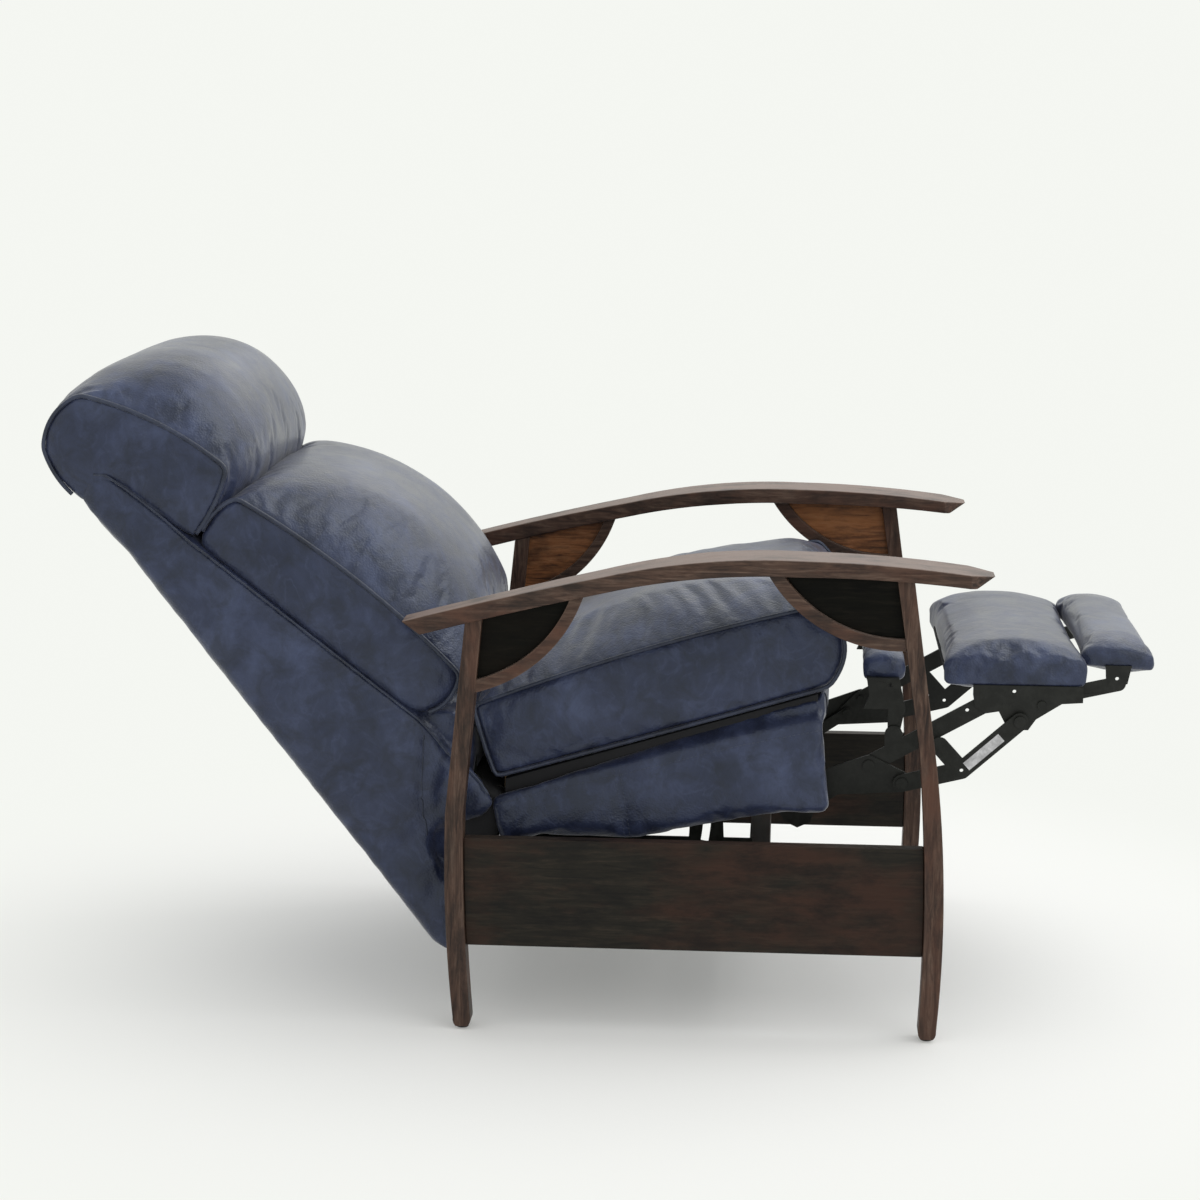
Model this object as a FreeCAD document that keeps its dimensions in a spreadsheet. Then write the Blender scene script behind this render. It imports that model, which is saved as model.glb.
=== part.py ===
import FreeCAD
import Part
import math
import os
import re

import Sketcher

# A push back recliner with an open wooden frame, shown fully reclined.
# Millimetres, +Z up, the chair faces -Y, and the sitter's right hand is on -X.
# Every outline is drawn in the side plane: the first value runs forward, the second up.

Vector = FreeCAD.Vector
Rotation = FreeCAD.Rotation
Placement = FreeCAD.Placement

RIGHT = -1
LEFT = 1
SIDES = (("right", RIGHT), ("left", LEFT))

SIZES = {
    # Arms
    "arm_outer": 357.5,
    "arm_width": 80,
    "arm_thickness": 22,
    "arm_rear": -250,
    "arm_rear_height": 561,
    "arm_middle": 10,
    "arm_middle_height": 624,
    "arm_crest": 268,
    "arm_crest_height": 650.5,
    "arm_front": 520,
    "arm_front_height": 631,
    "arm_front_bevel": 24,
    "arm_rear_curve": 5000,
    "arm_middle_curve": 955,
    "arm_front_curve": 1830,
    "arm_corner_length": 32,
    "arm_corner_width": 22,
    "arm_waist": -120,
    "arm_waist_width": 50,
    "arm_tail_width": 44,
    "arm_taper_start": 150,
    # Legs
    "leg_outer": 343,
    "leg_thickness": 32,
    "glide_height": 4,
    "glide_radius": 8,
    "foot_height": 16,
    "foot_flat": 16,
    "foot_rounding": 15,
    "front_leg_height": 634,
    "front_leg_top": 393,
    "front_leg_top_width": 22,
    "front_leg_knee": 428,
    "front_leg_knee_height": 405,
    "front_leg_knee_width": 20,
    "front_leg_foot": 437,
    "front_leg_foot_width": 24,
    "front_leg_bow": 2496,
    "front_leg_face_bow": 1738,
    "rear_leg_height": 575,
    "rear_leg_top": -166,
    "rear_leg_top_width": 22,
    "rear_leg_knee": -195,
    "rear_leg_knee_height": 300,
    "rear_leg_knee_width": 24,
    "rear_leg_foot": -186,
    "rear_leg_foot_width": 24,
    "rear_leg_bow": 2016,
    "rear_leg_face_bow": 2880,
    # Aprons, rails and quarter panels
    "apron_outer": 334,
    "apron_thickness": 20,
    "apron_bottom": 116,
    "apron_top": 264,
    "cross_rail_bottom": 128,
    "cross_rail_top": 218,
    "cross_rail_thickness": 28,
    "front_cross_rail": 207,
    "rear_cross_rail": -128,
    "panel_outer": 332,
    "panel_thickness": 12,
    "trim_outer": 341,
    "trim_width": 30,
    "trim_curve": 200,
    "panel_curve": 184,
    "front_trim_tip": 229,
    "front_trim_tip_height": 626,
    "front_trim_foot": 406,
    "front_trim_foot_height": 531,
    "front_panel_tip": 250,
    "front_panel_tip_height": 626,
    "front_panel_foot": 402,
    "front_panel_foot_height": 547,
    "front_trim_root": 415,
    "front_trim_root_height": 640,
    "front_panel_root": 405,
    "front_panel_root_height": 640,
    "rear_trim_tip": -12,
    "rear_trim_tip_height": 597,
    "rear_trim_foot": -157,
    "rear_trim_foot_height": 464,
    "rear_panel_tip": -30,
    "rear_panel_tip_height": 592,
    "rear_panel_foot": -151,
    "rear_panel_foot_height": 482,
    "rear_trim_root": -165,
    "rear_trim_root_height": 607,
    "rear_panel_root": -158,
    "rear_panel_root_height": 575,
    # Mechanism layers, counted outward from the middle of the chair
    "link_thickness": 3.5,
    "layer_pitch": 4,
    "first_layer": 193,
    "pivot_radius": 5,
    "pivot_clearance": 0.25,
    "pivot_gap": 0.25,
    "head_radius": 9,
    "head_height": 3,
    # Base rails and the seat hinge
    "base_rail_front": 231,
    "base_web_front": 212,
    "base_rail_rear": -130,
    "base_rail_height": 24,
    "base_flange_width": 36,
    "base_metal": 4,
    "hinge_forward": -95,
    "hinge_height": 280,
    "hinge_lug_radius": 14,
    "guide_radius": 245,
    "guide_angle": 1.2,
    "recline_travel": 10,
    "guide_end_room": 1.4,
    # Seat box
    "seat_plate_thickness": 4,
    "seat_rail_thickness": 26,
    "seat_rail_rear": -124,
    "seat_rail_bottom": 262,
    "seat_slope": 0.3013,
    "seat_slope_start": -134,
    "seat_slope_height": 326,
    "webbing_thickness": 3,
    "webbing_width": 50,
    "webbing_pitch": 84,
    "deck_half_width": 275,
    "deck_rear_low": -130,
    "deck_rear_low_height": 245,
    "deck_rear": -141,
    "deck_rear_height": 302,
    "deck_front_top": 297,
    "deck_front_top_height": 448,
    "deck_front": 315,
    "deck_front_height": 298,
    "deck_bend": 60,
    "deck_bend_height": 250,
    "front_board": 268,
    "front_board_thickness": 28,
    "front_board_bottom": 412,
    "front_board_top": 443.8,
    "rear_board": -128,
    "rear_board_depth": 34,
    "rear_board_bottom": 297,
    "rear_board_top": 324.5,
    # Cushions
    "seat_cushion_half": 268,
    "seat_cushion_length": 468,
    "seat_cushion_rear": 111,
    "seat_cushion_front": 118,
    "seat_cushion_crown": 44,
    "seat_cushion_nose": 30,
    "back_cushion_half": 282,
    "back_cushion_slope": 51.7,
    "back_cushion_length": 350,
    "back_cushion_depth": 94,
    "back_cushion_drop": 14,
    "back_cushion_crown": 58,
    "back_cushion_behind": 82,
    "back_cushion_rise": 28.3,
    "head_half": 284,
    "head_reach": 252,
    "head_rise": 194,
    "head_side_crown": 15,
    "head_crown": 66,
    # Back, measured along and square to its rear face
    "back_slope": 38.36,
    "back_tail_behind": 24,
    "back_tail_drop": 312,
    "back_half_width": 290,
    "back_leather": 6,
    "back_length": 783,
    "back_hinge": -180,
    "back_hinge_height": 400,
    "back_frame_inner": 229,
    "back_frame_thickness": 30,
    "back_frame_depth": 8,
    "back_frame_low": 14,
    "back_frame_high": 745,
    "back_frame_top_depth": 52,
    "back_frame_tail_depth": 36,
    "back_rail_height": 50,
    "back_bracket_thickness": 3.5,
    "back_strap_pitch": 90,
    # Footrest linkage, open pose
    "carrier_forward": 287,
    "carrier_height": 315,
    "elbow_forward": 412,
    "elbow_height": 323,
    "link_spread": 45,
    "link_drop": 22,
    "reach_back": 72,
    "reach_drop": 36,
    "knee_forward": 492,
    "knee_height": 343,
    "link_half": 12,
    "ear_forward": 462,
    "ear_height": 376,
    "flip_forward": 640,
    "flip_height": 448,
    "tuck_forward": 400,
    "tuck_height": 388,
    "carrier_half": 14,
    "slim_half": 8,
    "small_head_radius": 6,
    "small_hole": 2.5,
    "cross_tube_radius": 8,
    "cross_tube_bore": 6,
    "tail_forward": 346,
    "tail_height": 324,
    "control_forward": 272,
    "control_height": 274,
    "flange_inner": 150,
    "flange_thickness": 3,
    # Footrest boards and pads
    "footrest_board_half": 200,
    "footrest_board_back": 170,
    "footrest_board_ahead": 4,
    "footrest_board_lift": 12,
    "footrest_board_thickness": 10,
    "flipper_board_half": 180,
    "flipper_board_gap": 20,
    "flipper_board_reach": 97,
    "flipper_board_lift": 39,
    "flipper_board_thickness": 6,
    "pad_gap": 0.3,
    "pad_overhang": 4,
    "footrest_pad_half": 210,
    "footrest_pad_side": 32,
    "footrest_pad_crown": 30,
    "flipper_pad_half": 191,
    "flipper_pad_side": 17,
    "flipper_pad_crown": 24,
    "inner_pad_half": 191,
    "inner_pad_back": 43,
    "inner_pad_ahead": 13,
    "inner_pad_lift": 77,
    "inner_pad_side": 22,
    "inner_pad_crown": 13,
}

doc = FreeCAD.newDocument("barrel_recliner")
sheet = doc.addObject("Spreadsheet::Sheet", "Sizes")
NODES = []


def fill_sheet():
    """Writes every driving size to its own named cell."""
    for row, (name, size) in enumerate(SIZES.items(), start=1):
        sheet.set(f"A{row}", name)
        sheet.set(f"B{row}", str(size))
        sheet.setAlias(f"B{row}", name)
    doc.recompute()


def bound(text):
    """Turns words that name a size into references to the sheet."""
    return re.sub(r"[a-z][a-z_]+", lambda word: cell(word.group(0)), str(text))


def cell(word):
    return f"Sizes.{word}" if word in SIZES else word


def number(text):
    """Today's value of an expression in the named sizes."""
    found = sheet.evalExpression(bound(text))
    return float(getattr(found, "Value", found))


def bulge(chord, rise):
    """Radius of an arc that rises so far over such a chord."""
    return f"(({chord}) ^ 2 / (8 * ({rise})) + ({rise}) / 2)"


def node(part, name):
    """Names a finished sub-part and puts it on the list to be written."""
    part.Label = name
    NODES.append(part)
    return part


# Sketch helpers

def origin_plane(body, role):
    return next(item for item in body.Origin.OriginFeatures if item.Role == role)


def side_sketch(body, level):
    """A sketch in the side plane at a signed distance from the middle, facing -X."""
    sketch = body.newObject("Sketcher::SketchObject", body.Name + "_outline")
    sketch.AttachmentSupport = [(origin_plane(body, "YZ_Plane"), "")]
    sketch.MapMode = "FlatFace"
    turn = Rotation(Vector(0, 1, 0), 180)
    sketch.AttachmentOffset = Placement(Vector(0, 0, number(level)), turn)
    sketch.setExpression("AttachmentOffset.Base.z", bound(level))
    return sketch


def plan_sketch(body, level):
    """A sketch seen from above, facing down, with forward up the page."""
    sketch = body.newObject("Sketcher::SketchObject", body.Name + "_plan")
    sketch.AttachmentSupport = [(origin_plane(body, "XY_Plane"), "")]
    sketch.MapMode = "FlatFace"
    turn = Rotation(Vector(1, 0, 0), 180)
    sketch.AttachmentOffset = Placement(Vector(0, 0, number(level)), turn)
    sketch.setExpression("AttachmentOffset.Base.z", bound(level))
    return sketch


def bind(sketch, kind, *where, text):
    """One constraint whose size follows an expression."""
    index = sketch.addConstraint(Sketcher.Constraint(kind, *where, number(text)))
    sketch.setExpression(f"Constraints[{index}]", bound(text))


def edge_between(start, end, radius):
    """A line, or an arc that bulges left of the way it runs when its radius is above zero."""
    if radius is None:
        return Part.LineSegment(start, end)
    size = abs(number(radius))
    chord = end - start
    half = chord.Length / 2
    left = Vector(-chord.y, chord.x, 0).normalize()
    if number(radius) < 0:
        left = left * -1
    rise = size - math.sqrt(max(size ** 2 - half ** 2, 0))
    return Part.Arc(start, (start + end) * 0.5 + left * rise, end)


def draw(sketch, corners):
    """Draws a closed outline from corners of (first, second) or (first, second, radius)."""
    points = [Vector(number(corner[0]), number(corner[1]), 0) for corner in corners]
    edges = []
    for index, corner in enumerate(corners):
        start = points[index]
        end = points[(index + 1) % len(points)]
        radius = corner[2] if len(corner) > 2 else None
        edge = sketch.addGeometry(edge_between(start, end, radius))
        flipped = (sketch.getPoint(edge, 1) - start).Length > (sketch.getPoint(edge, 2) - start).Length
        first, last = (2, 1) if flipped else (1, 2)
        edges.append((edge, first, last))
        bind(sketch, "DistanceX", -1, 1, edge, first, text=corner[0])
        bind(sketch, "DistanceY", -1, 1, edge, first, text=corner[1])
        if radius is not None:
            bind(sketch, "Radius", edge, text=f"abs({radius})")
    for index, (edge, first, last) in enumerate(edges):
        following, its_first, its_last = edges[(index + 1) % len(edges)]
        sketch.addConstraint(Sketcher.Constraint("Coincident", edge, last, following, its_first))


def draw_circle(sketch, first, second, radius):
    centre = Vector(number(first), number(second), 0)
    ring = sketch.addGeometry(Part.Circle(centre, Vector(0, 0, 1), number(radius)))
    bind(sketch, "DistanceX", -1, 1, ring, 3, text=first)
    bind(sketch, "DistanceY", -1, 1, ring, 3, text=second)
    bind(sketch, "Radius", ring, text=radius)


# Solid helpers

def make_body(name):
    return doc.addObject("PartDesign::Body", name)


def level_of(side, inner, thickness):
    """Where the sketch of a piece lies, so that it grows from inner to inner + thickness."""
    if side == RIGHT:
        return f"-({inner})"
    return f"({inner}) + ({thickness})"


def pad(body, sketch, length):
    feature = body.newObject("PartDesign::Pad", body.Name + "_pad")
    feature.Profile = sketch
    feature.Length = number(length)
    feature.setExpression("Length", bound(length))
    return feature


def pocket(body, sketch, length):
    """Cuts a sketch out of a body, and stops when it takes nothing off."""
    doc.recompute()
    whole = body.Shape.Volume
    feature = body.newObject("PartDesign::Pocket", body.Name + "_pocket")
    feature.Profile = sketch
    feature.Length = number(length)
    feature.setExpression("Length", bound(length))
    doc.recompute()
    if not body.Shape.Volume < whole:
        raise RuntimeError(f"{body.Name}: the pocket cut nothing")


def add_slab(body, side, inner, thickness, outline, holes=()):
    """Adds a flat piece between two distances from the middle of the chair."""
    sketch = side_sketch(body, level_of(side, inner, thickness))
    draw(sketch, outline)
    for forward, height, radius in holes:
        draw_circle(sketch, forward, height, radius)
    pad(body, sketch, thickness)


def add_disc(body, side, inner, thickness, forward, height, radius):
    """Adds a round pin, boss or head."""
    sketch = side_sketch(body, level_of(side, inner, thickness))
    draw_circle(sketch, forward, height, radius)
    pad(body, sketch, thickness)


def slab(name, side, inner, thickness, outline, holes=()):
    body = make_body(name)
    add_slab(body, side, inner, thickness, outline, holes)
    return body


def rectangle(rear, bottom, front, top):
    return [(rear, bottom), (front, bottom), (front, top), (rear, top)]


def box(name, half_width, rear, front, bottom, top):
    """A board that lies across the chair."""
    part = doc.addObject("Part::Box", name)
    bindings = {
        "Length": f"2 * ({half_width})",
        "Width": f"({front}) - ({rear})",
        "Height": f"({top}) - ({bottom})",
        "Placement.Base.x": f"-({half_width})",
        "Placement.Base.y": f"-({front})",
        "Placement.Base.z": bottom,
    }
    for prop, text in bindings.items():
        part.setExpression(prop, bound(text))
    return part


def cylinder(name, side, inner, outer, forward, height, radius):
    """A round bar along X between two distances from the middle."""
    part = doc.addObject("Part::Cylinder", name)
    part.Placement = Placement(Vector(0, 0, 0), Rotation(Vector(0, 1, 0), 90))
    start = f"-({outer})" if side == RIGHT else inner
    part.setExpression("Radius", bound(radius))
    part.setExpression("Height", bound(f"({outer}) - ({inner})"))
    part.setExpression("Placement.Base.x", bound(start))
    part.setExpression("Placement.Base.y", bound(f"-({forward})"))
    part.setExpression("Placement.Base.z", bound(height))
    return part


def cut(base, tool):
    """Trims one piece to the exact face of another."""
    part = doc.addObject("Part::Cut", base.Name + "_cut")
    part.Base = base
    part.Tool = tool
    return part


def group(name, pieces):
    """Identical pieces that share one name."""
    part = doc.addObject("Part::Compound", name)
    part.Links = pieces
    return node(part, name)


def bar(start, end, half):
    """Outline of a straight link with rounded ends, from two pivots given as texts."""
    half = f"({half})"
    run = f"(({end[0]}) - ({start[0]}))"
    climb = f"(({end[1]}) - ({start[1]}))"
    length = f"sqrt({run} ^ 2 + {climb} ^ 2)"
    along = f"{half} * {run} / {length}"
    upward = f"{half} * {climb} / {length}"
    rounding = f"-{half}"
    return [
        (f"{start[0]} - {upward}", f"{start[1]} + {along}", rounding),
        (f"{start[0]} - {along}", f"{start[1]} - {upward}", rounding),
        (f"{start[0]} + {upward}", f"{start[1]} - {along}"),
        (f"{end[0]} + {upward}", f"{end[1]} - {along}", rounding),
        (f"{end[0]} + {along}", f"{end[1]} + {upward}", rounding),
        (f"{end[0]} - {upward}", f"{end[1]} + {along}"),
    ]


def layer(index):
    """Inner face of a mechanism layer."""
    return f"(first_layer + {index} * layer_pitch)"


def layer_top(index):
    """Outer face of a mechanism layer."""
    return f"(first_layer + {index} * layer_pitch + link_thickness)"


def leaning_point(forward, height, slope, up, depth):
    """A point of a part that leans back: its distance up its rear face and square to it."""
    first = f"{forward} - ({up}) * sin({slope}) + ({depth}) * cos({slope})"
    second = f"{height} + ({up}) * cos({slope}) + ({depth}) * sin({slope})"
    return first, second


PIVOT_HOLE = "pivot_radius + pivot_clearance"
BASE_LAYER = layer(6)
SEAT_PLATE = layer(7)
SEAT_PLATE_OUTER = f"({SEAT_PLATE} + seat_plate_thickness)"
SEAT_RAIL_OUTER = f"({SEAT_PLATE_OUTER} + seat_rail_thickness)"

CARRIER_PIVOT = ("carrier_forward", "carrier_height")
CONTROL_PIVOT = ("control_forward", "control_height")
CONTROL_END = ("tail_forward", "tail_height")
LOWER_PIVOT = ("elbow_forward", "elbow_height")
UPPER_PIVOT = ("(elbow_forward - link_spread)", "(elbow_height + link_drop)")
REACH = "(flip_forward - reach_back)"
LOWER_END = (REACH, "(flip_height - reach_drop)")
UPPER_END = (f"({REACH} - link_spread)", f"({LOWER_END[1]} + link_drop)")
KNEE = ("knee_forward", "knee_height")
FLIP_PIVOT = ("flip_forward", "flip_height")
TUCK_PIVOT = ("tuck_forward", "tuck_height")
SEAT_HINGE = ("hinge_forward", "hinge_height")
BACK_HINGE = ("back_hinge", "back_hinge_height")
BACK_TAIL = ("(back_hinge - back_tail_behind)", "(back_hinge_height - back_tail_drop)")
LUMBAR = ("(back_hinge - back_cushion_behind)", "(back_hinge_height + back_cushion_rise)")

FOOTREST_BOTTOM = "(flip_height + footrest_board_lift)"
FLIPPER_BOTTOM = "(flip_height + flipper_board_lift)"
INNER_BOTTOM = "(tuck_height + inner_pad_lift)"
FLIPPER_LAYER = -1


# Wooden frame

def make_arm(name, side):
    """One bent arm: the curve of its side view, then the taper of its plan."""
    body = make_body(name)
    low = "arm_thickness"
    outline = [
        ("arm_rear", "arm_rear_height", "arm_rear_curve"),
        ("arm_middle", "arm_middle_height", "arm_middle_curve"),
        ("arm_crest", "arm_crest_height", "arm_front_curve"),
        ("arm_front", "arm_front_height"),
        ("arm_front - arm_front_bevel", f"arm_front_height - {low} * 0.65", "-arm_front_curve"),
        ("arm_crest", f"arm_crest_height - {low}", "-arm_middle_curve"),
        ("arm_middle", f"arm_middle_height - {low}", "-arm_rear_curve"),
        ("arm_rear + arm_front_bevel", f"arm_rear_height - {low} * 0.8"),
    ]
    add_slab(body, side, "arm_outer - arm_width", "arm_width", outline)
    taper = plan_sketch(body, "arm_rear_height - 3 * arm_thickness")
    waste = f"{side} * (arm_outer - arm_width - arm_thickness)"
    draw(taper, [
        (waste, "arm_taper_start"),
        (f"{side} * (arm_outer - arm_width)", "arm_taper_start"),
        (f"{side} * (arm_outer - arm_waist_width)", "arm_waist"),
        (f"{side} * (arm_outer - arm_tail_width)", "arm_rear - arm_thickness"),
        (waste, "arm_rear - arm_thickness"),
    ])
    for edge, way in (("arm_outer", 1), ("(arm_outer - arm_width)", -1)):
        draw(taper, [
            (f"{side} * ({edge} - {way} * arm_corner_width)", "arm_front"),
            (f"{side} * ({edge} - {way} * arm_corner_width)", "arm_front + arm_thickness"),
            (f"{side} * ({edge} + {way} * arm_thickness)", "arm_front + arm_thickness"),
            (f"{side} * ({edge} + {way} * arm_thickness)", "arm_front - arm_corner_length"),
            (f"{side} * {edge}", "arm_front - arm_corner_length"),
        ])
    pocket(body, taper, "arm_crest_height - arm_rear_height + 6 * arm_thickness")
    return node(body, name)


def make_leg(name, side, leg, arm, bows):
    """A leg that is straight above its knee and bowed below, cut to the arm's underside."""
    bow_back, bow_face = bows
    knee = f"{leg}_knee"
    foot = f"{leg}_foot"
    middle = f"({foot} + {foot}_width / 2)"
    outline = [
        (f"{leg}_top", f"{leg}_height"),
        (f"{leg}_top + {leg}_top_width", f"{leg}_height"),
        (f"{knee} + {knee}_width", f"{knee}_height", bow_face),
        (f"{foot} + {foot}_width", "foot_height", "foot_rounding"),
        (f"{middle} + foot_flat / 2", "glide_height"),
        (f"{middle} - foot_flat / 2", "glide_height", "foot_rounding"),
        (foot, "foot_height", bow_back),
        (knee, f"{knee}_height"),
    ]
    blank = slab(name + "_blank", side, "leg_outer - leg_thickness", "leg_thickness", outline)
    return node(cut(blank, arm), name)


def make_glides():
    """A round glide under each foot, which the chair stands on."""
    glides = []
    for label, side in SIDES:
        for leg in ("front_leg", "rear_leg"):
            glide = doc.addObject("Part::Cylinder", f"glide_{leg}_{label}")
            forward = f"({leg}_foot + {leg}_foot_width / 2)"
            glide.setExpression("Radius", bound("glide_radius"))
            glide.setExpression("Height", bound("glide_height"))
            across = f"{side} * (leg_outer - leg_thickness / 2)"
            glide.setExpression("Placement.Base.x", bound(across))
            glide.setExpression("Placement.Base.y", bound(f"-{forward}"))
            glides.append(glide)
    return group("leg_glides", glides)


def make_apron(name, side, front_leg, rear_leg):
    """The deep rail low on a side, cut to both legs."""
    outline = rectangle("rear_leg_foot", "apron_bottom", "front_leg_foot + glide_radius", "apron_top")
    inner = "apron_outer - apron_thickness"
    blank = slab(name + "_blank", side, inner, "apron_thickness", outline)
    return node(cut(cut(blank, front_leg), rear_leg), name)


def size_pair(name):
    return name, name + "_height"


def make_quarter_panel(name, side, end, arm, leg):
    """Thin panel that fills the corner between an arm and a leg."""
    tip = size_pair(f"{end}_panel_tip")
    foot = size_pair(f"{end}_panel_foot")
    curve = "-panel_curve" if end == "front" else "panel_curve"
    outline = [
        (tip[0], f"{end}_trim_root_height"),
        tip + (curve,),
        foot,
        (f"{end}_trim_root", foot[1]),
        size_pair(f"{end}_panel_root"),
    ]
    inner = "panel_outer - panel_thickness"
    blank = slab(name + "_blank", side, inner, "panel_thickness", outline)
    return node(cut(cut(blank, arm), leg), name)


def make_quarter_trim(name, side, end, arm, leg):
    """Bent strip around a quarter panel."""
    way = -1 if end == "front" else 1
    tip = size_pair(f"{end}_trim_tip")
    foot = size_pair(f"{end}_trim_foot")
    inner_tip = size_pair(f"{end}_panel_tip")
    inner_foot = size_pair(f"{end}_panel_foot")
    outline = [
        (tip[0], f"{end}_trim_root_height"),
        tip + (f"{way} * trim_curve",),
        foot,
        (f"{end}_trim_root", foot[1]),
        (f"{end}_trim_root", inner_foot[1]),
        inner_foot + (f"{-way} * panel_curve",),
        inner_tip,
        (inner_tip[0], f"{end}_trim_root_height"),
    ]
    blank = slab(name + "_blank", side, "trim_outer - trim_width", "trim_width", outline)
    return node(cut(cut(blank, arm), leg), name)


def make_side_frame(label, side):
    """An arm, its two legs, the apron between them and the two quarter panels."""
    arm = make_arm(f"arm_{label}", side)
    front_bows = ("-front_leg_bow", "front_leg_face_bow")
    rear_bows = ("rear_leg_bow", "-rear_leg_face_bow")
    front_leg = make_leg(f"front_leg_{label}", side, "front_leg", arm, front_bows)
    rear_leg = make_leg(f"rear_leg_{label}", side, "rear_leg", arm, rear_bows)
    make_apron(f"side_apron_{label}", side, front_leg, rear_leg)
    for end, leg in (("front", front_leg), ("rear", rear_leg)):
        make_quarter_panel(f"{end}_quarter_panel_{label}", side, end, arm, leg)
        make_quarter_trim(f"{end}_quarter_trim_{label}", side, end, arm, leg)


def make_cross_rails():
    """The two hardwood rails between the aprons."""
    reach = "apron_outer - apron_thickness"
    for name in ("front_cross_rail", "rear_cross_rail"):
        front = f"{name} + cross_rail_thickness"
        node(box(name, reach, name, front, "cross_rail_bottom", "cross_rail_top"), name)


# Steel base rails

def arc_point(angle, radius):
    """A point on a circle about the seat hinge, for an angle below level in degrees."""
    forward = f"hinge_forward + {radius} * cos({angle})"
    height = f"hinge_height - {radius} * sin({angle})"
    return forward, height


def guide_slot():
    """Arc slot that the seat's guide stud runs in."""
    upper = "-guide_angle - guide_end_room"
    lower = "recline_travel - guide_angle + guide_end_room"
    outside = f"(guide_radius + {PIVOT_HOLE})"
    inside = f"(guide_radius - ({PIVOT_HOLE}))"
    return [
        arc_point(upper, inside),
        arc_point(upper, outside) + (outside,),
        arc_point(lower, outside),
        arc_point(lower, inside) + ("-" + inside,),
    ]


def make_base_rail(name, side):
    """An angle on the cross rails with a hinge lug behind and a slotted lug in front."""
    body = make_body(name)
    floor = "cross_rail_top"
    top = "cross_rail_top + base_rail_height"
    guide = "hinge_forward + guide_radius"
    lug = "hinge_lug_radius"
    outline = [
        ("base_rail_rear", floor),
        ("base_web_front", floor),
        ("base_web_front", top),
        (f"{guide} + 1.6 * {lug}", top),
        (f"{guide} + 1.4 * {lug}", f"hinge_height + 1.5 * {lug}"),
        (f"{guide} - 1.6 * {lug}", f"hinge_height + 1.5 * {lug}"),
        (f"{guide} - 1.8 * {lug}", top),
        (f"hinge_forward + 2.5 * {lug}", top),
        (f"hinge_forward + {lug}", "hinge_height", "-" + lug),
        ("hinge_forward", f"hinge_height + {lug}", "-" + lug),
        (f"hinge_forward - {lug}", "hinge_height"),
        ("base_rail_rear", f"hinge_height - 2 * {lug}"),
    ]
    sketch = side_sketch(body, level_of(side, BASE_LAYER, "link_thickness"))
    draw(sketch, outline)
    draw(sketch, guide_slot())
    draw_circle(sketch, *SEAT_HINGE, PIVOT_HOLE)
    pad(body, sketch, "link_thickness")
    flange = rectangle("base_rail_rear", floor, "base_rail_front", f"{floor} + base_metal")
    inner = f"{BASE_LAYER} + link_thickness - base_flange_width"
    add_slab(body, side, inner, "base_flange_width", flange)
    return node(body, name)


# Seat box

def cushion_line(forward):
    """Height of the seat cushion's underside."""
    return f"(seat_slope_height + seat_slope * (({forward}) - seat_slope_start))"


def make_seat_plate(name, side):
    """Steel plate inside a seat rail: it carries the hinge, the guide stud and the footrest."""
    body = make_body(name)
    lug = "hinge_lug_radius"
    low = "seat_rail_bottom"
    outline = [
        ("back_hinge + 10", low),
        ("deck_bend", low),
        ("control_forward - 32", f"{low} + 30"),
        ("control_forward - 17", f"{low} + 6"),
        ("control_forward", f"control_height - {lug}"),
        ("control_forward + 17", f"{low} + 6"),
        (f"carrier_forward + {lug}", f"carrier_height - {lug}"),
        (f"carrier_forward + {lug}", "carrier_height + 85"),
        ("carrier_forward - 57", "carrier_height + 85"),
        ("carrier_forward - 87", "carrier_height + 25"),
        ("rear_board + 28", "rear_board_bottom + 3"),
        ("rear_board - 22", "rear_board_bottom + 15"),
        (f"back_hinge + {lug}", "rear_board_bottom + 33"),
        (f"back_hinge + {lug}", "back_hinge_height", "-" + lug),
        ("back_hinge", f"back_hinge_height + {lug}", "-" + lug),
        (f"back_hinge - {lug}", "back_hinge_height"),
        (f"back_hinge - {lug}", f"{low} + 30"),
    ]
    holes = [SEAT_HINGE + ("pivot_radius",), BACK_HINGE + (PIVOT_HOLE,)]
    add_slab(body, side, SEAT_PLATE, "seat_plate_thickness", outline, holes)
    stud = arc_point("-guide_angle", "guide_radius")
    head = f"({BASE_LAYER} - pivot_gap)"
    add_pin(body, side, head, SEAT_PLATE, stud, "pivot_radius")
    add_pin(body, side, f"{head} - head_height", head, stud, "head_radius")
    collar = f"({layer_top(3)} + pivot_gap)"
    add_pin(body, side, collar, SEAT_PLATE, CARRIER_PIVOT, "cross_tube_radius")
    add_pin(body, side, f"{layer(3)} - 1", collar, CARRIER_PIVOT, "pivot_radius")
    collar = f"({layer_top(1)} + pivot_gap)"
    add_pin(body, side, collar, SEAT_PLATE, CONTROL_PIVOT, "small_head_radius")
    add_pin(body, side, layer(1), collar, CONTROL_PIVOT, "pivot_radius")
    return node(body, name)


def make_seat_rail(name, side):
    """Hardwood side rail that the plate is screwed to."""
    front = "front_board + front_board_thickness"
    outline = [
        ("seat_rail_rear", "seat_rail_bottom"),
        ("deck_bend", "seat_rail_bottom"),
        (front, "carrier_height - 10"),
        (front, f"{cushion_line(front)} - webbing_thickness - pad_gap"),
        ("seat_rail_rear", f"{cushion_line('seat_rail_rear')} - webbing_thickness - pad_gap"),
    ]
    return node(slab(name, side, SEAT_PLATE_OUTER, "seat_rail_thickness", outline), name)


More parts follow.
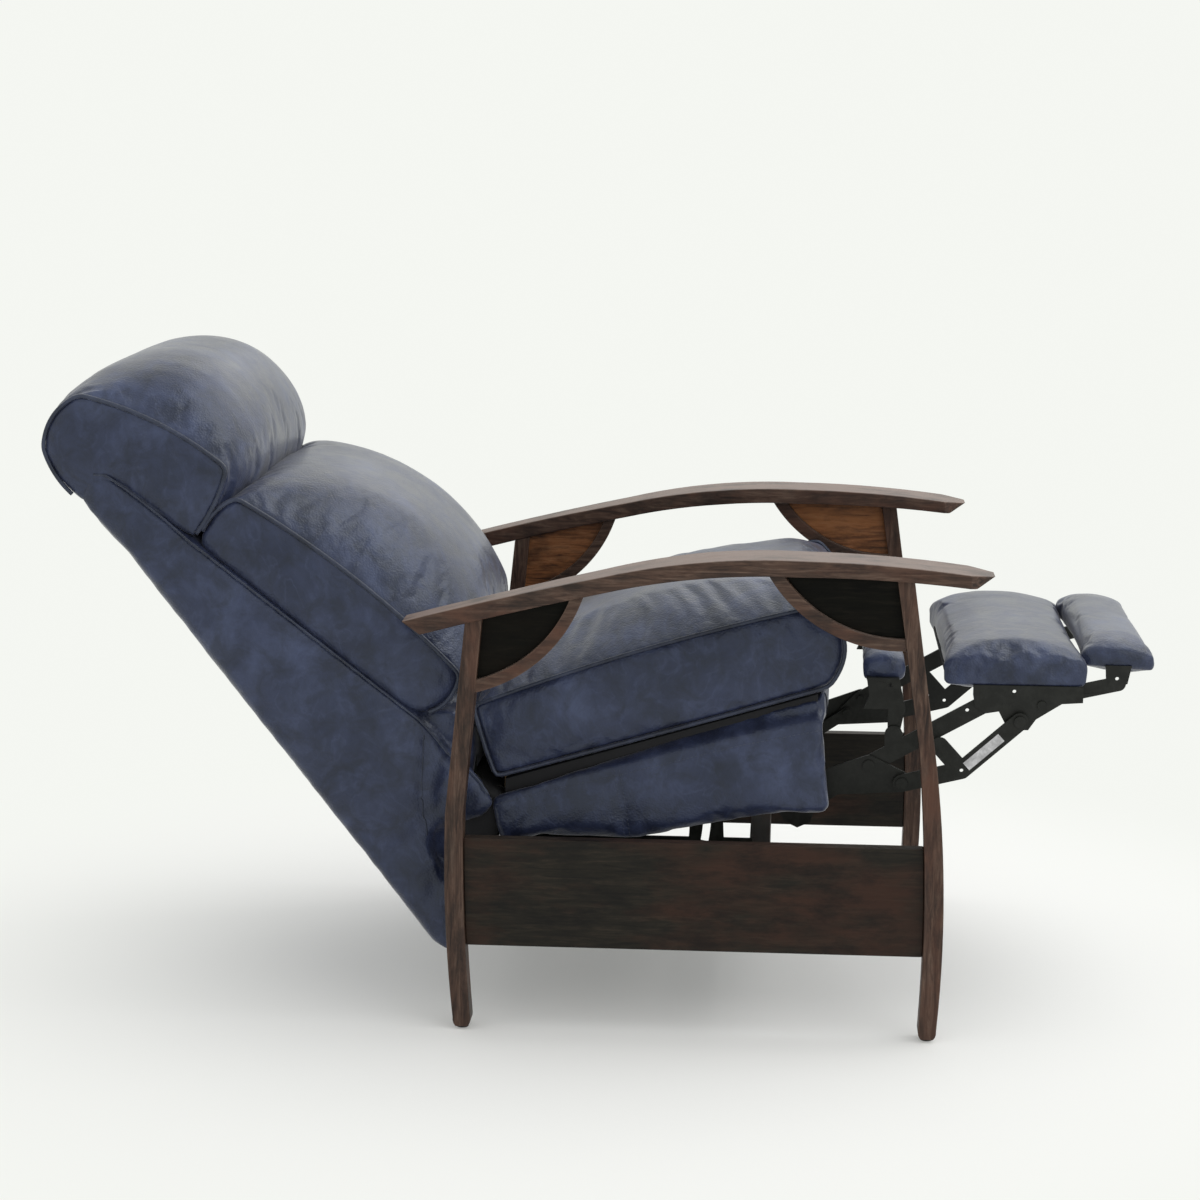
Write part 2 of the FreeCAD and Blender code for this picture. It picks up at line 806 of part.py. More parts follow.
def make_seat_boards():
    """The boards across the front and rear of the seat, which the webbing is stapled to."""
    front_edge = "front_board + front_board_thickness"
    rear_edge = "rear_board + rear_board_depth"
    front = box("seat_front_rail", SEAT_PLATE_OUTER, "front_board", front_edge,
                "front_board_bottom", "front_board_top")
    node(front, "seat_front_rail")
    rear = box("seat_rear_rail", SEAT_PLATE, "rear_board", rear_edge,
               "rear_board_bottom", "rear_board_top")
    node(rear, "seat_rear_rail")


def make_seat_webbing():
    """Elastic straps from the rear board to the front one, which the cushion lies on."""
    rear = "rear_board"
    front = "(front_board + front_board_thickness)"
    outline = [
        (rear, f"{cushion_line(rear)} - webbing_thickness"),
        (front, f"{cushion_line(front)} - webbing_thickness"),
        (front, cushion_line(front)),
        (rear, cushion_line(rear)),
    ]
    straps = []
    for index in range(-2, 3):
        start = f"{index} * webbing_pitch - webbing_width / 2"
        straps.append(slab(f"seat_strap_{index + 3}", LEFT, start, "webbing_width", outline))
    return group("seat_webbing", straps)


def make_seat_cover():
    """Padded leather sides of the seat box, joined by a strip across the front."""
    body = make_body("seat_deck_cover")
    outline = [
        size_pair("deck_rear_low"),
        size_pair("deck_bend"),
        size_pair("deck_front"),
        size_pair("deck_front_top"),
        size_pair("deck_rear"),
    ]
    thickness = f"deck_half_width - {SEAT_RAIL_OUTER}"
    edge = "front_board + front_board_thickness + pad_gap"
    strip = rectangle(edge, "front_board_bottom", "deck_front_top + 3", "front_board_top")
    add_slab(body, RIGHT, SEAT_RAIL_OUTER, thickness, outline)
    add_slab(body, LEFT, f"-{SEAT_RAIL_OUTER}", f"2 * {SEAT_RAIL_OUTER}", strip)
    add_slab(body, LEFT, SEAT_RAIL_OUTER, thickness, outline)
    return node(body, "seat_deck_cover")


def make_bolts(name, pivot, head, outer):
    """A pair of hinge bolts, one on each side, with their heads inward."""
    bolts = []
    for label, side in SIDES:
        bolt = make_body(f"{name}_{label}")
        add_pin(bolt, side, f"{head} - head_height", head, pivot, "head_radius")
        add_pin(bolt, side, head, outer, pivot, "pivot_radius")
        bolts.append(bolt)
    return group(name, bolts)


# Back

def back_point(up, depth):
    """A point measured up the rear face of the back and square to it."""
    return leaning_point(*BACK_TAIL, "back_slope", up, depth)


def lumbar_point(up, depth):
    """A point measured from the lower rear corner of the back cushion."""
    return leaning_point(*LUMBAR, "back_cushion_slope", up, depth)


def head_point(reach, rise):
    """A point of the head cushion's outline, in shares of its reach and its rise."""
    forward, height = lumbar_point("back_cushion_length", "0")
    return f"{forward} + {reach} * head_reach", f"{height} + {rise} * head_rise"


def make_back_bracket(name, side):
    """Steel arm that hangs the back on its hinge."""
    lug = "hinge_lug_radius"
    outline = [
        ("back_hinge", f"back_hinge_height + {lug}", lug),
        (f"back_hinge + {lug}", "back_hinge_height", lug),
        ("back_hinge", f"back_hinge_height - {lug}"),
        ("back_hinge - 160", "back_hinge_height - 50"),
        ("back_hinge - 220", "back_hinge_height - 20"),
        lumbar_point("154", "-68"),
        lumbar_point("91", "-19"),
        lumbar_point("-8", "-10"),
    ]
    inner = "back_frame_inner - back_bracket_thickness"
    holes = [BACK_HINGE + ("pivot_radius",)]
    return node(slab(name, side, inner, "back_bracket_thickness", outline, holes), name)


def make_back_side(name, side):
    """Plywood side of the back, cut to the line that the cushions lie on."""
    gap = "-webbing_thickness - pad_gap"
    outline = [
        back_point("back_frame_low", "back_frame_depth"),
        back_point("back_frame_high", "back_frame_depth"),
        back_point("back_frame_high", "back_frame_top_depth"),
        lumbar_point("back_cushion_length", gap),
        lumbar_point("0", gap),
        ("back_hinge - 40", "back_hinge_height - 60"),
        ("back_hinge - 18", "back_hinge_height - 120"),
        ("back_hinge - 18", "back_hinge_height - 240"),
        back_point("back_frame_low", "back_frame_tail_depth"),
    ]
    return node(slab(name, side, "back_frame_inner", "back_frame_thickness", outline), name)


def make_back_rail(name, low, front):
    """A board across the back between its plywood sides."""
    high = f"{low} + back_rail_height"
    outline = [
        back_point(low, "back_frame_depth"),
        back_point(high, "back_frame_depth"),
        back_point(high, front),
        back_point(low, front),
    ]
    body = slab(name, LEFT, "-back_frame_inner", "2 * back_frame_inner", outline)
    return node(body, name)


def make_back_webbing():
    """Straps across the plywood sides, behind the back cushion."""
    straps = []
    reach = "(back_frame_inner + back_frame_thickness)"
    for index in range(4):
        low = f"20 + {index} * back_strap_pitch"
        high = f"{low} + webbing_width"
        outline = [
            lumbar_point(low, "-webbing_thickness - pad_gap"),
            lumbar_point(high, "-webbing_thickness - pad_gap"),
            lumbar_point(high, "-pad_gap"),
            lumbar_point(low, "-pad_gap"),
        ]
        straps.append(slab(f"back_strap_{index + 1}", LEFT, f"-{reach}", f"2 * {reach}", outline))
    return group("back_webbing", straps)


def make_back_cover():
    """Leather over the rear of the back, with flaps down both sides."""
    body = make_body("back_cover")
    flap = [
        back_point("0", "0"),
        back_point("back_length", "0"),
        head_point(-0.47, 0.44),
        head_point(-0.013, 0.025),
        LUMBAR,
        ("back_hinge + 2", "back_hinge_height + 30"),
        ("back_hinge + 35", "back_hinge_height - 97"),
        ("back_hinge + 30", "back_hinge_height - 138"),
        ("back_hinge - 20", "back_hinge_height - 138", "-" + bulge("77", "36")),
        ("back_hinge - 20", "back_hinge_height - 215"),
        ("back_hinge + 4", "back_hinge_height - 220"),
        ("back_hinge + 8", "back_hinge_height - 300"),
    ]
    band = [
        back_point("0", "0"),
        back_point("back_length", "0"),
        back_point("back_length", "back_leather"),
        back_point("8", "back_leather"),
        ("back_hinge + 6", "back_hinge_height - 294"),
        ("back_hinge + 8", "back_hinge_height - 300"),
    ]
    inner = "back_half_width - back_leather"
    add_slab(body, RIGHT, inner, "back_leather", flap)
    add_slab(body, LEFT, "-back_half_width", "2 * back_half_width", band)
    add_slab(body, LEFT, inner, "back_leather", flap)
    return node(body, "back_cover")


# Footrest linkage

def add_pin(body, side, inner, outer, pivot, radius):
    """A round step of a rivet between two distances from the middle."""
    add_disc(body, side, inner, f"({outer}) - ({inner})", *pivot, radius)


def add_bar(body, side, index, start, end, half):
    add_slab(body, side, layer(index), "link_thickness", bar(start, end, half))


def drill(body, side, index, pivots, small=()):
    """Pivot holes through one layer of a link, and small open ones."""
    level = f"-{layer_top(index)}" if side == RIGHT else layer(index)
    sketch = side_sketch(body, level)
    for pivot in pivots:
        draw_circle(sketch, *pivot, PIVOT_HOLE)
    for forward, height in small:
        draw_circle(sketch, forward, height, "small_hole")
    pocket(body, sketch, "link_thickness")


def add_inner_rivet(body, side, index, start, pivot):
    """A rivet that runs inward through one layer and ends in a small head."""
    face = f"({layer(index)} - pivot_gap)"
    add_pin(body, side, face, start, pivot, "pivot_radius")
    add_pin(body, side, f"{face} - head_height", face, pivot, "small_head_radius")


def add_outer_rivet(body, side, pivot):
    """A stepped rivet from the carrier's layer out to the lower link, with its head beyond."""
    collar = f"({layer(5)} - pivot_gap)"
    face = f"({layer_top(5)} + pivot_gap)"
    add_pin(body, side, layer_top(3), collar, pivot, "small_head_radius")
    add_pin(body, side, collar, face, pivot, "pivot_radius")
    add_pin(body, side, face, f"{face} + head_height", pivot, "cross_tube_radius")


def make_carrier(name, side):
    """Triangular link that swings the whole footrest out from the seat plate."""
    body = make_body(name)
    add_bar(body, side, 3, CARRIER_PIVOT, UPPER_PIVOT, "carrier_half")
    add_bar(body, side, 3, UPPER_PIVOT, LOWER_PIVOT, "carrier_half")
    add_bar(body, side, 3, CARRIER_PIVOT, LOWER_PIVOT, "carrier_half")
    drill(body, side, 3, [CARRIER_PIVOT])
    add_inner_rivet(body, side, 2, layer(3), UPPER_PIVOT)
    outer = f"{layer_top(3)} + head_height"
    add_pin(body, side, layer_top(3), outer, UPPER_PIVOT, "cross_tube_radius")
    add_outer_rivet(body, side, LOWER_PIVOT)
    return node(body, name)


def make_cross_tube():
    """Tube that joins the two carriers, on the axis they swing about."""
    tube = cylinder("cross_tube_blank", LEFT, f"-{layer(3)}", layer(3), *CARRIER_PIVOT, "cross_tube_radius")
    bore = cylinder("cross_tube_bore_tool", LEFT, f"-{layer(3)}", layer(3), *CARRIER_PIVOT, "cross_tube_bore")
    return node(cut(tube, bore), "cross_tube")


def make_upper_link(name, side):
    body = make_body(name)
    ear = ("tuck_forward", "tuck_height - 24")
    add_bar(body, side, 2, CONTROL_END, UPPER_PIVOT, "link_half")
    add_bar(body, side, 2, UPPER_PIVOT, UPPER_END, "link_half")
    add_bar(body, side, 2, ear, TUCK_PIVOT, "link_half")
    hole = (f"{UPPER_END[0]} - 25", f"{UPPER_END[1]} - 10")
    drill(body, side, 2, [UPPER_PIVOT, UPPER_END], [hole])
    add_inner_rivet(body, side, 1, layer(2), TUCK_PIVOT)
    return node(body, name)


def make_lower_link(name, side):
    """Cranked link under the upper one, with a small ear at its bend."""
    body = make_body(name)
    ear = ("ear_forward", "ear_height")
    add_bar(body, side, 5, LOWER_PIVOT, KNEE, "link_half")
    add_bar(body, side, 5, KNEE, LOWER_END, "link_half")
    add_bar(body, side, 5, KNEE, ear, "link_half")
    drill(body, side, 5, [LOWER_PIVOT, LOWER_END], [KNEE])
    return node(body, name)


def make_control_links():
    """Slim links from the seat plates to the tails of the upper links."""
    links = []
    for label, side in SIDES:
        body = make_body(f"control_link_{label}")
        add_bar(body, side, 1, CONTROL_PIVOT, CONTROL_END, "slim_half")
        drill(body, side, 1, [CONTROL_PIVOT])
        add_pin(body, side, f"{layer(1)} - head_height", layer(1), CONTROL_END, "small_head_radius")
        links.append(body)
    return group("control_links", links)


def add_flange(body, side, outer, rear, bottom, front):
    """Flat foot of a bracket, under its board."""
    shape = rectangle(rear, bottom, front, f"{bottom} + flange_thickness")
    add_slab(body, side, "flange_inner", f"{outer} - flange_inner", shape)


def make_footrest_bracket(name, side):
    """Plate under the footrest board that both long links end on."""
    body = make_body(name)
    top = FOOTREST_BOTTOM
    low = LOWER_END[1]
    outline = [
        (f"{REACH} - 63", top),
        (f"{REACH} - 63", f"{top} - 14"),
        (f"{REACH} - 60", f"{low} + 18"),
        (f"{REACH} - 45", f"{low} + 9"),
        (f"{REACH} - 28", f"{low} + 12"),
        (f"{REACH} - 18", f"{low} - 7"),
        (f"{REACH} - 11", f"{low} - 13"),
        (f"{REACH} + 12", f"{low} - 13"),
        (f"{REACH} + 22", f"{low} + 2"),
        ("flip_forward - 16", f"{top} - 24"),
        ("flip_forward + 12", f"{top} - 22"),
        ("flip_forward + 12", top),
    ]
    add_slab(body, side, layer(3), "link_thickness", outline[::-1])
    foot_front = "flip_forward - link_half - 4"
    add_flange(body, side, layer_top(3), f"{REACH} - 63", f"{top} - flange_thickness", foot_front)
    add_inner_rivet(body, side, 2, layer(3), UPPER_END)
    add_outer_rivet(body, side, LOWER_END)
    bolt = (f"{REACH} + 29", f"{low} + 22")
    add_pin(body, side, layer_top(3), f"{layer_top(3)} + head_height", bolt, "small_head_radius")
    drill(body, side, 3, [], [(f"{REACH} - 8", f"{top} - 8")])
    collar = f"({layer_top(FLIPPER_LAYER)} + pivot_gap)"
    add_pin(body, side, collar, layer(3), FLIP_PIVOT, "small_head_radius")
    add_inner_rivet(body, side, FLIPPER_LAYER, collar, FLIP_PIVOT)
    return node(body, name)


def make_flipper_bracket(name, side):
    """Arm that swings the outermost pad from the end of the footrest bracket."""
    body = make_body(name)
    top = FLIPPER_BOTTOM
    arm_end = ("flip_forward + 60", "flip_height + 14")
    add_bar(body, side, FLIPPER_LAYER, FLIP_PIVOT, arm_end, "link_half - 2")
    plate = [
        ("flip_forward + 44", f"{top} - 32"),
        ("flip_forward + 72", f"{top} - 25"),
        ("flip_forward + 77", top),
        ("flip_forward + 42", top),
    ]
    add_slab(body, side, layer(FLIPPER_LAYER), "link_thickness", plate)
    outer = layer_top(FLIPPER_LAYER)
    add_flange(body, side, outer, "flip_forward + 42", f"{top} - flange_thickness", "flip_forward + 77")
    hole = ("flip_forward + 58", "flip_height + 21")
    drill(body, side, FLIPPER_LAYER, [FLIP_PIVOT], [hole])
    return node(body, name)


def make_inner_brackets():
    """Arms that lift the inner pad from the upper links."""
    brackets = []
    for label, side in SIDES:
        body = make_body(f"inner_pad_bracket_{label}")
        plate = [
            ("tuck_forward - 38", INNER_BOTTOM),
            ("tuck_forward + 6", INNER_BOTTOM),
            ("tuck_forward + 15", "tuck_height + 36"),
            ("tuck_forward + slim_half", "tuck_height", "slim_half"),
            ("tuck_forward", "tuck_height - slim_half", "slim_half"),
            ("tuck_forward - slim_half", "tuck_height"),
            ("tuck_forward - 9", "tuck_height + 34"),
            ("tuck_forward - 42", "tuck_height + 34"),
            ("tuck_forward - 34", "tuck_height + 52"),
        ]
        add_slab(body, side, layer(1), "link_thickness", plate)
        foot = f"{INNER_BOTTOM} - flange_thickness"
        add_flange(body, side, layer_top(1), "tuck_forward - 38", foot, "tuck_forward + 6")
        drill(body, side, 1, [TUCK_PIVOT], [("tuck_forward - 6", f"{INNER_BOTTOM} - 9")])
        brackets.append(body)
    return group("inner_pad_brackets", brackets)


def make_board(name, rear, front, bottom):
    """A board of the footrest, with its pad on top."""
    top = f"{bottom} + {name}_thickness"
    node(box(name, f"{name}_half", rear, front, bottom, top), name)
    pad_name = name.replace("board", "pad")
    make_pad(pad_name, f"({rear} - pad_overhang)", f"({front} + pad_overhang)", f"{top} + pad_gap + 0.5")


# Soft parts

def tilt(body, forward, height, slope):
    """Leans a body that is drawn upright, its own corner going to a point of the side plane."""
    place = Vector(0, -number(forward), number(height))
    body.Placement = Placement(place, Rotation(Vector(-1, 0, 0), number(slope)))
    body.setExpression("Placement.Base.y", bound(f"-({forward})"))
    body.setExpression("Placement.Base.z", bound(height))
    body.setExpression("Placement.Rotation.Angle", bound(slope))


def swollen(least, most, swell):
    """A value between the end of a cushion and its middle."""
    return f"({least} + ({most} - ({least})) * {swell})"


def soft_outline(ends, middles, swell):
    """Clockwise outline of (first, second, rise) corners, each edge bulging outward by its rise."""
    blend = []
    for end, middle in zip(ends, middles):
        blend.append([swollen(least, most, swell) for least, most in zip(end, middle)])
    outline = []
    for index, (first, second, rise) in enumerate(blend):
        after = blend[(index + 1) % len(blend)]
        chord = f"sqrt(({after[0]} - {first}) ^ 2 + ({after[1]} - {second}) ^ 2)"
        outline.append((first, second, bulge(chord, rise)))
    return outline


def make_pillow(name, half_width, ends, middles):
    """A stuffed form between two end outlines, swelling to a fuller one in its middle."""
    body = make_body(name)
    sketches = []
    for share, swell in ((-1, 0), (-0.86, 0.6), (0, 1), (0.86, 0.6), (1, 0)):
        sketch = side_sketch(body, f"{share} * {half_width}")
        draw(sketch, soft_outline(ends, middles, swell))
        sketches.append(sketch)
    loft = body.newObject("PartDesign::AdditiveLoft", name + "_loft")
    loft.Profile = sketches[0]
    loft.Sections = sketches[1:]
    return node(body, name)


def make_seat_cushion():
    front = "seat_cushion_length"
    ends = [
        ("2", "2", "3"),
        ("8", "seat_cushion_rear - 1", "8"),
        (f"{front} + 11", "seat_cushion_front", "seat_cushion_nose - 4"),
        (f"{front} - 3", "2", "1"),
    ]
    middles = [
        ("0", "0", "6"),
        ("2", "seat_cushion_rear + 2", "seat_cushion_crown"),
        (f"{front} + 13", "seat_cushion_front + 6", "seat_cushion_nose"),
        (front, "0", "1"),
    ]
    cushion = make_pillow("seat_cushion", "seat_cushion_half", ends, middles)
    tilt(cushion, "seat_slope_start", "seat_slope_height + pad_gap + 1", "atan(seat_slope)")


def make_back_cushion():
    depth = "back_cushion_depth"
    length = "back_cushion_length"
    ends = [
        ("1", "2", "0.8"),
        ("1", f"{length} - 2", "8"),
        (f"{depth} - 9", f"{length} - 4", "12"),
        (depth, "-back_cushion_drop", "24"),
    ]
    middles = [
        ("1", "0", "0.8"),
        ("1", length, "1"),
        (f"{depth} + 16", f"{length} - 6", "back_cushion_crown"),
        (f"{depth} + 34", "-back_cushion_drop - 14", "26"),
    ]
    cushion = make_pillow("back_cushion", "back_cushion_half", ends, middles)
    tilt(cushion, *LUMBAR, "back_cushion_slope")


def make_head_cushion():
    """Roll above the back cushion: its corners are shares of its reach and its rise."""
    ends = [
        (-0.616, 0.308, "10"),
        (-0.811, 0.664, "12"),
        (-0.6, 1.025, "head_side_crown"),
        (0.185, 0.54, "6"),
        (-0.013, 0.025, "1"),
        (-0.47, 0.447, "2"),
    ]
    middles = [
        (-0.616, 0.303, "12"),
        (-0.815, 0.674, "16"),
        (-0.636, 1.087, "head_crown"),
        (0.32, 0.52, "3"),
        (-0.005, 0.025, "1"),
        (-0.47, 0.442, "4"),
    ]
    outlines = []
    for corners in (ends, middles):
        outlines.append([head_point(reach, rise) + (swell,) for reach, rise, swell in corners])
    make_pillow("head_cushion", "head_half", *outlines)


def make_pad(name, rear, front, bottom):
    """A footrest pad: a slim cushion with a crowned top."""
    bottom = f"({bottom})"
    top = f"({bottom} + {name}_side)"
    ends = [(rear, bottom, "1"), (rear, top, "5"), (front, top, "1"), (front, bottom, "0.5")]
    middles = [
        (rear, bottom, "2"),
        (rear, f"{top} + 2", f"{name}_crown"),
        (front, f"{top} + 2", "3"),
        (front, bottom, "0.5"),
    ]
    make_pillow(name, f"{name}_half", ends, middles)


# The whole chair

def make_base():
    for label, side in SIDES:
        make_side_frame(label, side)
    make_cross_rails()
    make_glides()
    for label, side in SIDES:
        make_base_rail(f"base_rail_{label}", side)


def make_seat():
    for label, side in SIDES:
        make_seat_plate(f"seat_plate_{label}", side)
        make_seat_rail(f"seat_side_rail_{label}", side)
    make_seat_boards()
    make_seat_webbing()
    make_seat_cover()
    head = f"({BASE_LAYER} - pivot_gap)"
    make_bolts("seat_pivot_bolts", SEAT_HINGE, head, SEAT_PLATE_OUTER)
    make_seat_cushion()


def make_back():
    for label, side in SIDES:
        make_back_bracket(f"back_bracket_{label}", side)
        make_back_side(f"back_side_{label}", side)
    top_rail = "back_frame_high - back_rail_height - 5"
    make_back_rail("back_top_rail", top_rail, "back_frame_top_depth")
    make_back_rail("back_bottom_rail", "back_frame_low", "back_frame_tail_depth")
    make_back_webbing()
    make_back_cover()
    make_bolts("back_pivot_bolts", BACK_HINGE, f"({SEAT_PLATE} - pivot_gap)", "back_frame_inner")
    make_back_cushion()
    make_head_cushion()


def make_footrest():
    for label, side in SIDES:
        make_carrier(f"carrier_link_{label}", side)
        make_upper_link(f"upper_link_{label}", side)
        make_lower_link(f"lower_link_{label}", side)
        make_footrest_bracket(f"footrest_bracket_{label}", side)
        make_flipper_bracket(f"flipper_bracket_{label}", side)
    make_cross_tube()
    make_control_links()
    make_inner_brackets()
    rear = "flip_forward - footrest_board_back"
    make_board("footrest_board", rear, "flip_forward + footrest_board_ahead", FOOTREST_BOTTOM)
    rear = "flip_forward + flipper_board_gap"
    make_board("flipper_board", rear, "flip_forward + flipper_board_reach", FLIPPER_BOTTOM)
    rear = "(tuck_forward - inner_pad_back)"
    front = "(tuck_forward + inner_pad_ahead)"
    make_pad("inner_pad", rear, front, f"{INNER_BOTTOM} + pad_gap + 0.5")


def check_all():
    """Stops the build when anything failed to compute."""
    for item in doc.Objects:
        if "Invalid" in item.State or "Error" in item.State:
            raise RuntimeError(f"{item.Name} did not compute: {item.State}")
    for part in NODES:
        shape = part.Shape
        if shape.isNull() or not shape.isValid() or not shape.Solids:
            raise RuntimeError(f"{part.Label} has no valid solid")


def write_all():
    os.makedirs("parts", exist_ok=True)
    for part in NODES:
        part.Shape.exportStep(f"parts/{part.Label}.step")


fill_sheet()
make_base()
make_seat()
make_back()
make_footrest()
doc.recompute()
check_all()
write_all()
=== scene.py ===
import math

import bmesh
import bpy
from mathutils import Matrix, Vector, noise
from mathutils.bvhtree import BVHTree
from mathutils.kdtree import KDTree


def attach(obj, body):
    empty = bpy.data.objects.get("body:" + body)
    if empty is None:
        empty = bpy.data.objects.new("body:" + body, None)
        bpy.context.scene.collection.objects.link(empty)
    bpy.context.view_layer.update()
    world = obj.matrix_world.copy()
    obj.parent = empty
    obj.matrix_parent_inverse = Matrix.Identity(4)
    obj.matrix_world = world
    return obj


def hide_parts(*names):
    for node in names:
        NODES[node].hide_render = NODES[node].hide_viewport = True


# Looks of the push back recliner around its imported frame.
# Side outlines are lists of (forward, height) in millimetres, clockwise as seen from the sitter's right.

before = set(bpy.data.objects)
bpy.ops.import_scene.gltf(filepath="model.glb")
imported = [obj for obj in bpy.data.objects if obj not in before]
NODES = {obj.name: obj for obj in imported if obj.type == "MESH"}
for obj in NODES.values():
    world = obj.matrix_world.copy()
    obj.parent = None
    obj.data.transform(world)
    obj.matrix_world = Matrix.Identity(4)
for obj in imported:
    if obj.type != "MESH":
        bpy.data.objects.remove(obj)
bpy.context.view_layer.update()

MM = 0.001
SIDES = (("right", -1), ("left", 1))
WELT_RADIUS = 3.0
THIN_WELT_RADIUS = 1.6
CREASE_RADIUS = 1.0
CLOTH_FRAMES = 20
CUSHION_SQUARENESS = 4.5
CUSHION_POINTS = 150
CUSHION_VOXEL = 6.5
END_DOME = 6
PAD_SQUARENESS = 11
PAD_POINTS = 120
PAD_VOXEL = 5.0


def at(forward, height, across):
    """A point of the chair in metres, from side plane millimetres."""
    return Vector((across * MM, -forward * MM, height * MM))


# Outlines

def bulged(corners, step=4.0):
    """Points along a closed outline of (forward, height, rise) corners, each edge bulging outward."""
    points = []
    for index, (forward, height, rise) in enumerate(corners):
        start = Vector((forward, height))
        end = Vector(corners[(index + 1) % len(corners)][:2])
        chord = end - start
        outward = Vector((-chord.y, chord.x)).normalized()
        count = max(2, round(chord.length / step))
        for number in range(count):
            share = number / count
            points.append(start + chord * share + outward * rise * 4 * share * (1 - share))
    return points


def resampled(points, count, closed=True):
    """The same line with evenly spaced points."""
    loop = list(points) + [points[0]] if closed else list(points)
    runs = [0.0]
    for before, after in zip(loop, loop[1:]):
        runs.append(runs[-1] + (after - before).length)
    total = runs[-1]
    spread = []
    place = 0
    steps = count if closed else count - 1
    for number in range(count):
        target = total * number / steps
        while place < len(runs) - 2 and runs[place + 1] < target:
            place += 1
        span = max(runs[place + 1] - runs[place], 1e-9)
        spread.append(loop[place].lerp(loop[place + 1], min(1.0, (target - runs[place]) / span)))
    return spread


def rounded(points, passes):
    """Eases the corners of a closed line."""
    for _ in range(passes):
        points = [
            points[i] * 0.5 + (points[i - 1] + points[(i + 1) % len(points)]) * 0.25
            for i in range(len(points))
        ]
    return points


def blended(ends, middles, swell):
    """Corners between those of a cushion's end and those of its middle."""
    return [
        tuple(a + (b - a) * swell for a, b in zip(end, middle))
        for end, middle in zip(ends, middles)
    ]


def leaned(corners, origin, slope):
    """Corners of (across its rear face, up it, rise) taken to the side plane."""
    sine, cosine = math.sin(math.radians(slope)), math.cos(math.radians(slope))
    return [
        (origin[0] + depth * cosine - up * sine, origin[1] + depth * sine + up * cosine, rise)
        for depth, up, rise in corners
    ]


# Meshes

def mesh_object(name, vertices, faces):
    mesh = bpy.data.meshes.new(name)
    mesh.from_pydata(vertices, [], faces)
    made = bmesh.new()
    made.from_mesh(mesh)
    bmesh.ops.recalc_face_normals(made, faces=made.faces)
    made.to_mesh(mesh)
    made.free()
    mesh.shade_smooth()
    piece = bpy.data.objects.new(name, mesh)
    bpy.context.scene.collection.objects.link(piece)
    return piece


def lofted(sections, dome, rings=5):
    """Vertices and faces of a closed form through (across, outline) sections, with domed ends."""
    count = len(sections[0][1])
    vertices, faces = [], []

    def ring(across, outline):
        vertices.extend(at(p.x, p.y, across) for p in outline)

    def cap(across, outline, way):
        centre = sum(outline, Vector((0, 0))) / count
        shells = []
        for number in range(1, rings + 1):
            share = number / (rings + 1)
            swell = dome * (1 - (1 - share) ** 2.2)
            shells.append((across + way * swell, [p.lerp(centre, share) for p in outline]))
        return shells, at(centre.x, centre.y, across + way * dome)

    first_shells, first_tip = cap(*sections[0], -1)
    last_shells, last_tip = cap(*sections[-1], 1)
    for across, outline in first_shells[::-1] + sections + last_shells:
        ring(across, outline)
    layers = len(sections) + 2 * rings
    for layer in range(layers - 1):
        for i in range(count):
            j = (i + 1) % count
            a, b = layer * count, (layer + 1) * count
            faces.append((a + i, a + j, b + j, b + i))
    vertices.append(first_tip)
    vertices.append(last_tip)
    tip, end = layers * count, (layers - 1) * count
    for i in range(count):
        j = (i + 1) % count
        faces.append((tip, j, i))
        faces.append((tip + 1, end + i, end + j))
    return vertices, faces


def tube(name, points, radius, closed, sides=8):
    """A welt or cord along points, as a mesh."""
    count = len(points)
    vertices, faces = [], []
    normal = None
    for i, point in enumerate(points):
        ahead = points[(i + 1) % count] if closed or i < count - 1 else point
        behind = points[i - 1] if closed or i > 0 else point
        along = (ahead - behind).normalized()
        if normal is None:
            normal = along.orthogonal().normalized()
        normal = (normal - along * normal.dot(along)).normalized()
        other = along.cross(normal)
        for k in range(sides):
            angle = 2 * math.pi * k / sides
            vertices.append(point + (normal * math.cos(angle) + other * math.sin(angle)) * radius)
    for i in range(count if closed else count - 1):
        a, b = i * sides, ((i + 1) % count) * sides
        twist = 0
        if closed and i == count - 1:
            twist = min(range(sides), key=lambda t: (vertices[a] - vertices[b + t]).length)
        for k in range(sides):
            m = (k + 1) % sides
            faces.append((a + k, a + m, b + (m + twist) % sides, b + (k + twist) % sides))
    if not closed:
        faces.append(tuple(range(sides)))
        faces.append(tuple((count - 1) * sides + k for k in range(sides)))
    return mesh_object(name, vertices, faces)


def joined(name, pieces):
    """Several mesh objects as one."""
    made = bmesh.new()
    for piece in pieces:
        made.from_mesh(piece.data)
        bpy.data.objects.remove(piece)
    mesh = bpy.data.meshes.new(name)
    made.to_mesh(mesh)
    made.free()
    mesh.shade_smooth()
    piece = bpy.data.objects.new(name, mesh)
    bpy.context.scene.collection.objects.link(piece)
    return piece


def settled(piece):
    """Applies a piece's modifiers to its mesh."""
    bpy.context.view_layer.update()
    graph = bpy.context.evaluated_depsgraph_get()
    mesh = bpy.data.meshes.new_from_object(piece.evaluated_get(graph))
    old = piece.data
    piece.modifiers.clear()
    piece.data = mesh
    bpy.data.meshes.remove(old)
    mesh.shade_smooth()


def seam_tree(seams):
    """Nearest point search over seam lines, with how far along each point lies."""
    places = []
    for seam in seams:
        run = 0.0
        for i, point in enumerate(seam):
            if i:
                run += (point - seam[i - 1]).length
            places.append((point, run))
    tree = KDTree(len(places))
    for index, (point, _) in enumerate(places):
        tree.insert(point, index)
    tree.balance()
    return tree, places


def smoothstep(value):
    value = max(0.0, min(1.0, value))
    return value * value * (3 - 2 * value)


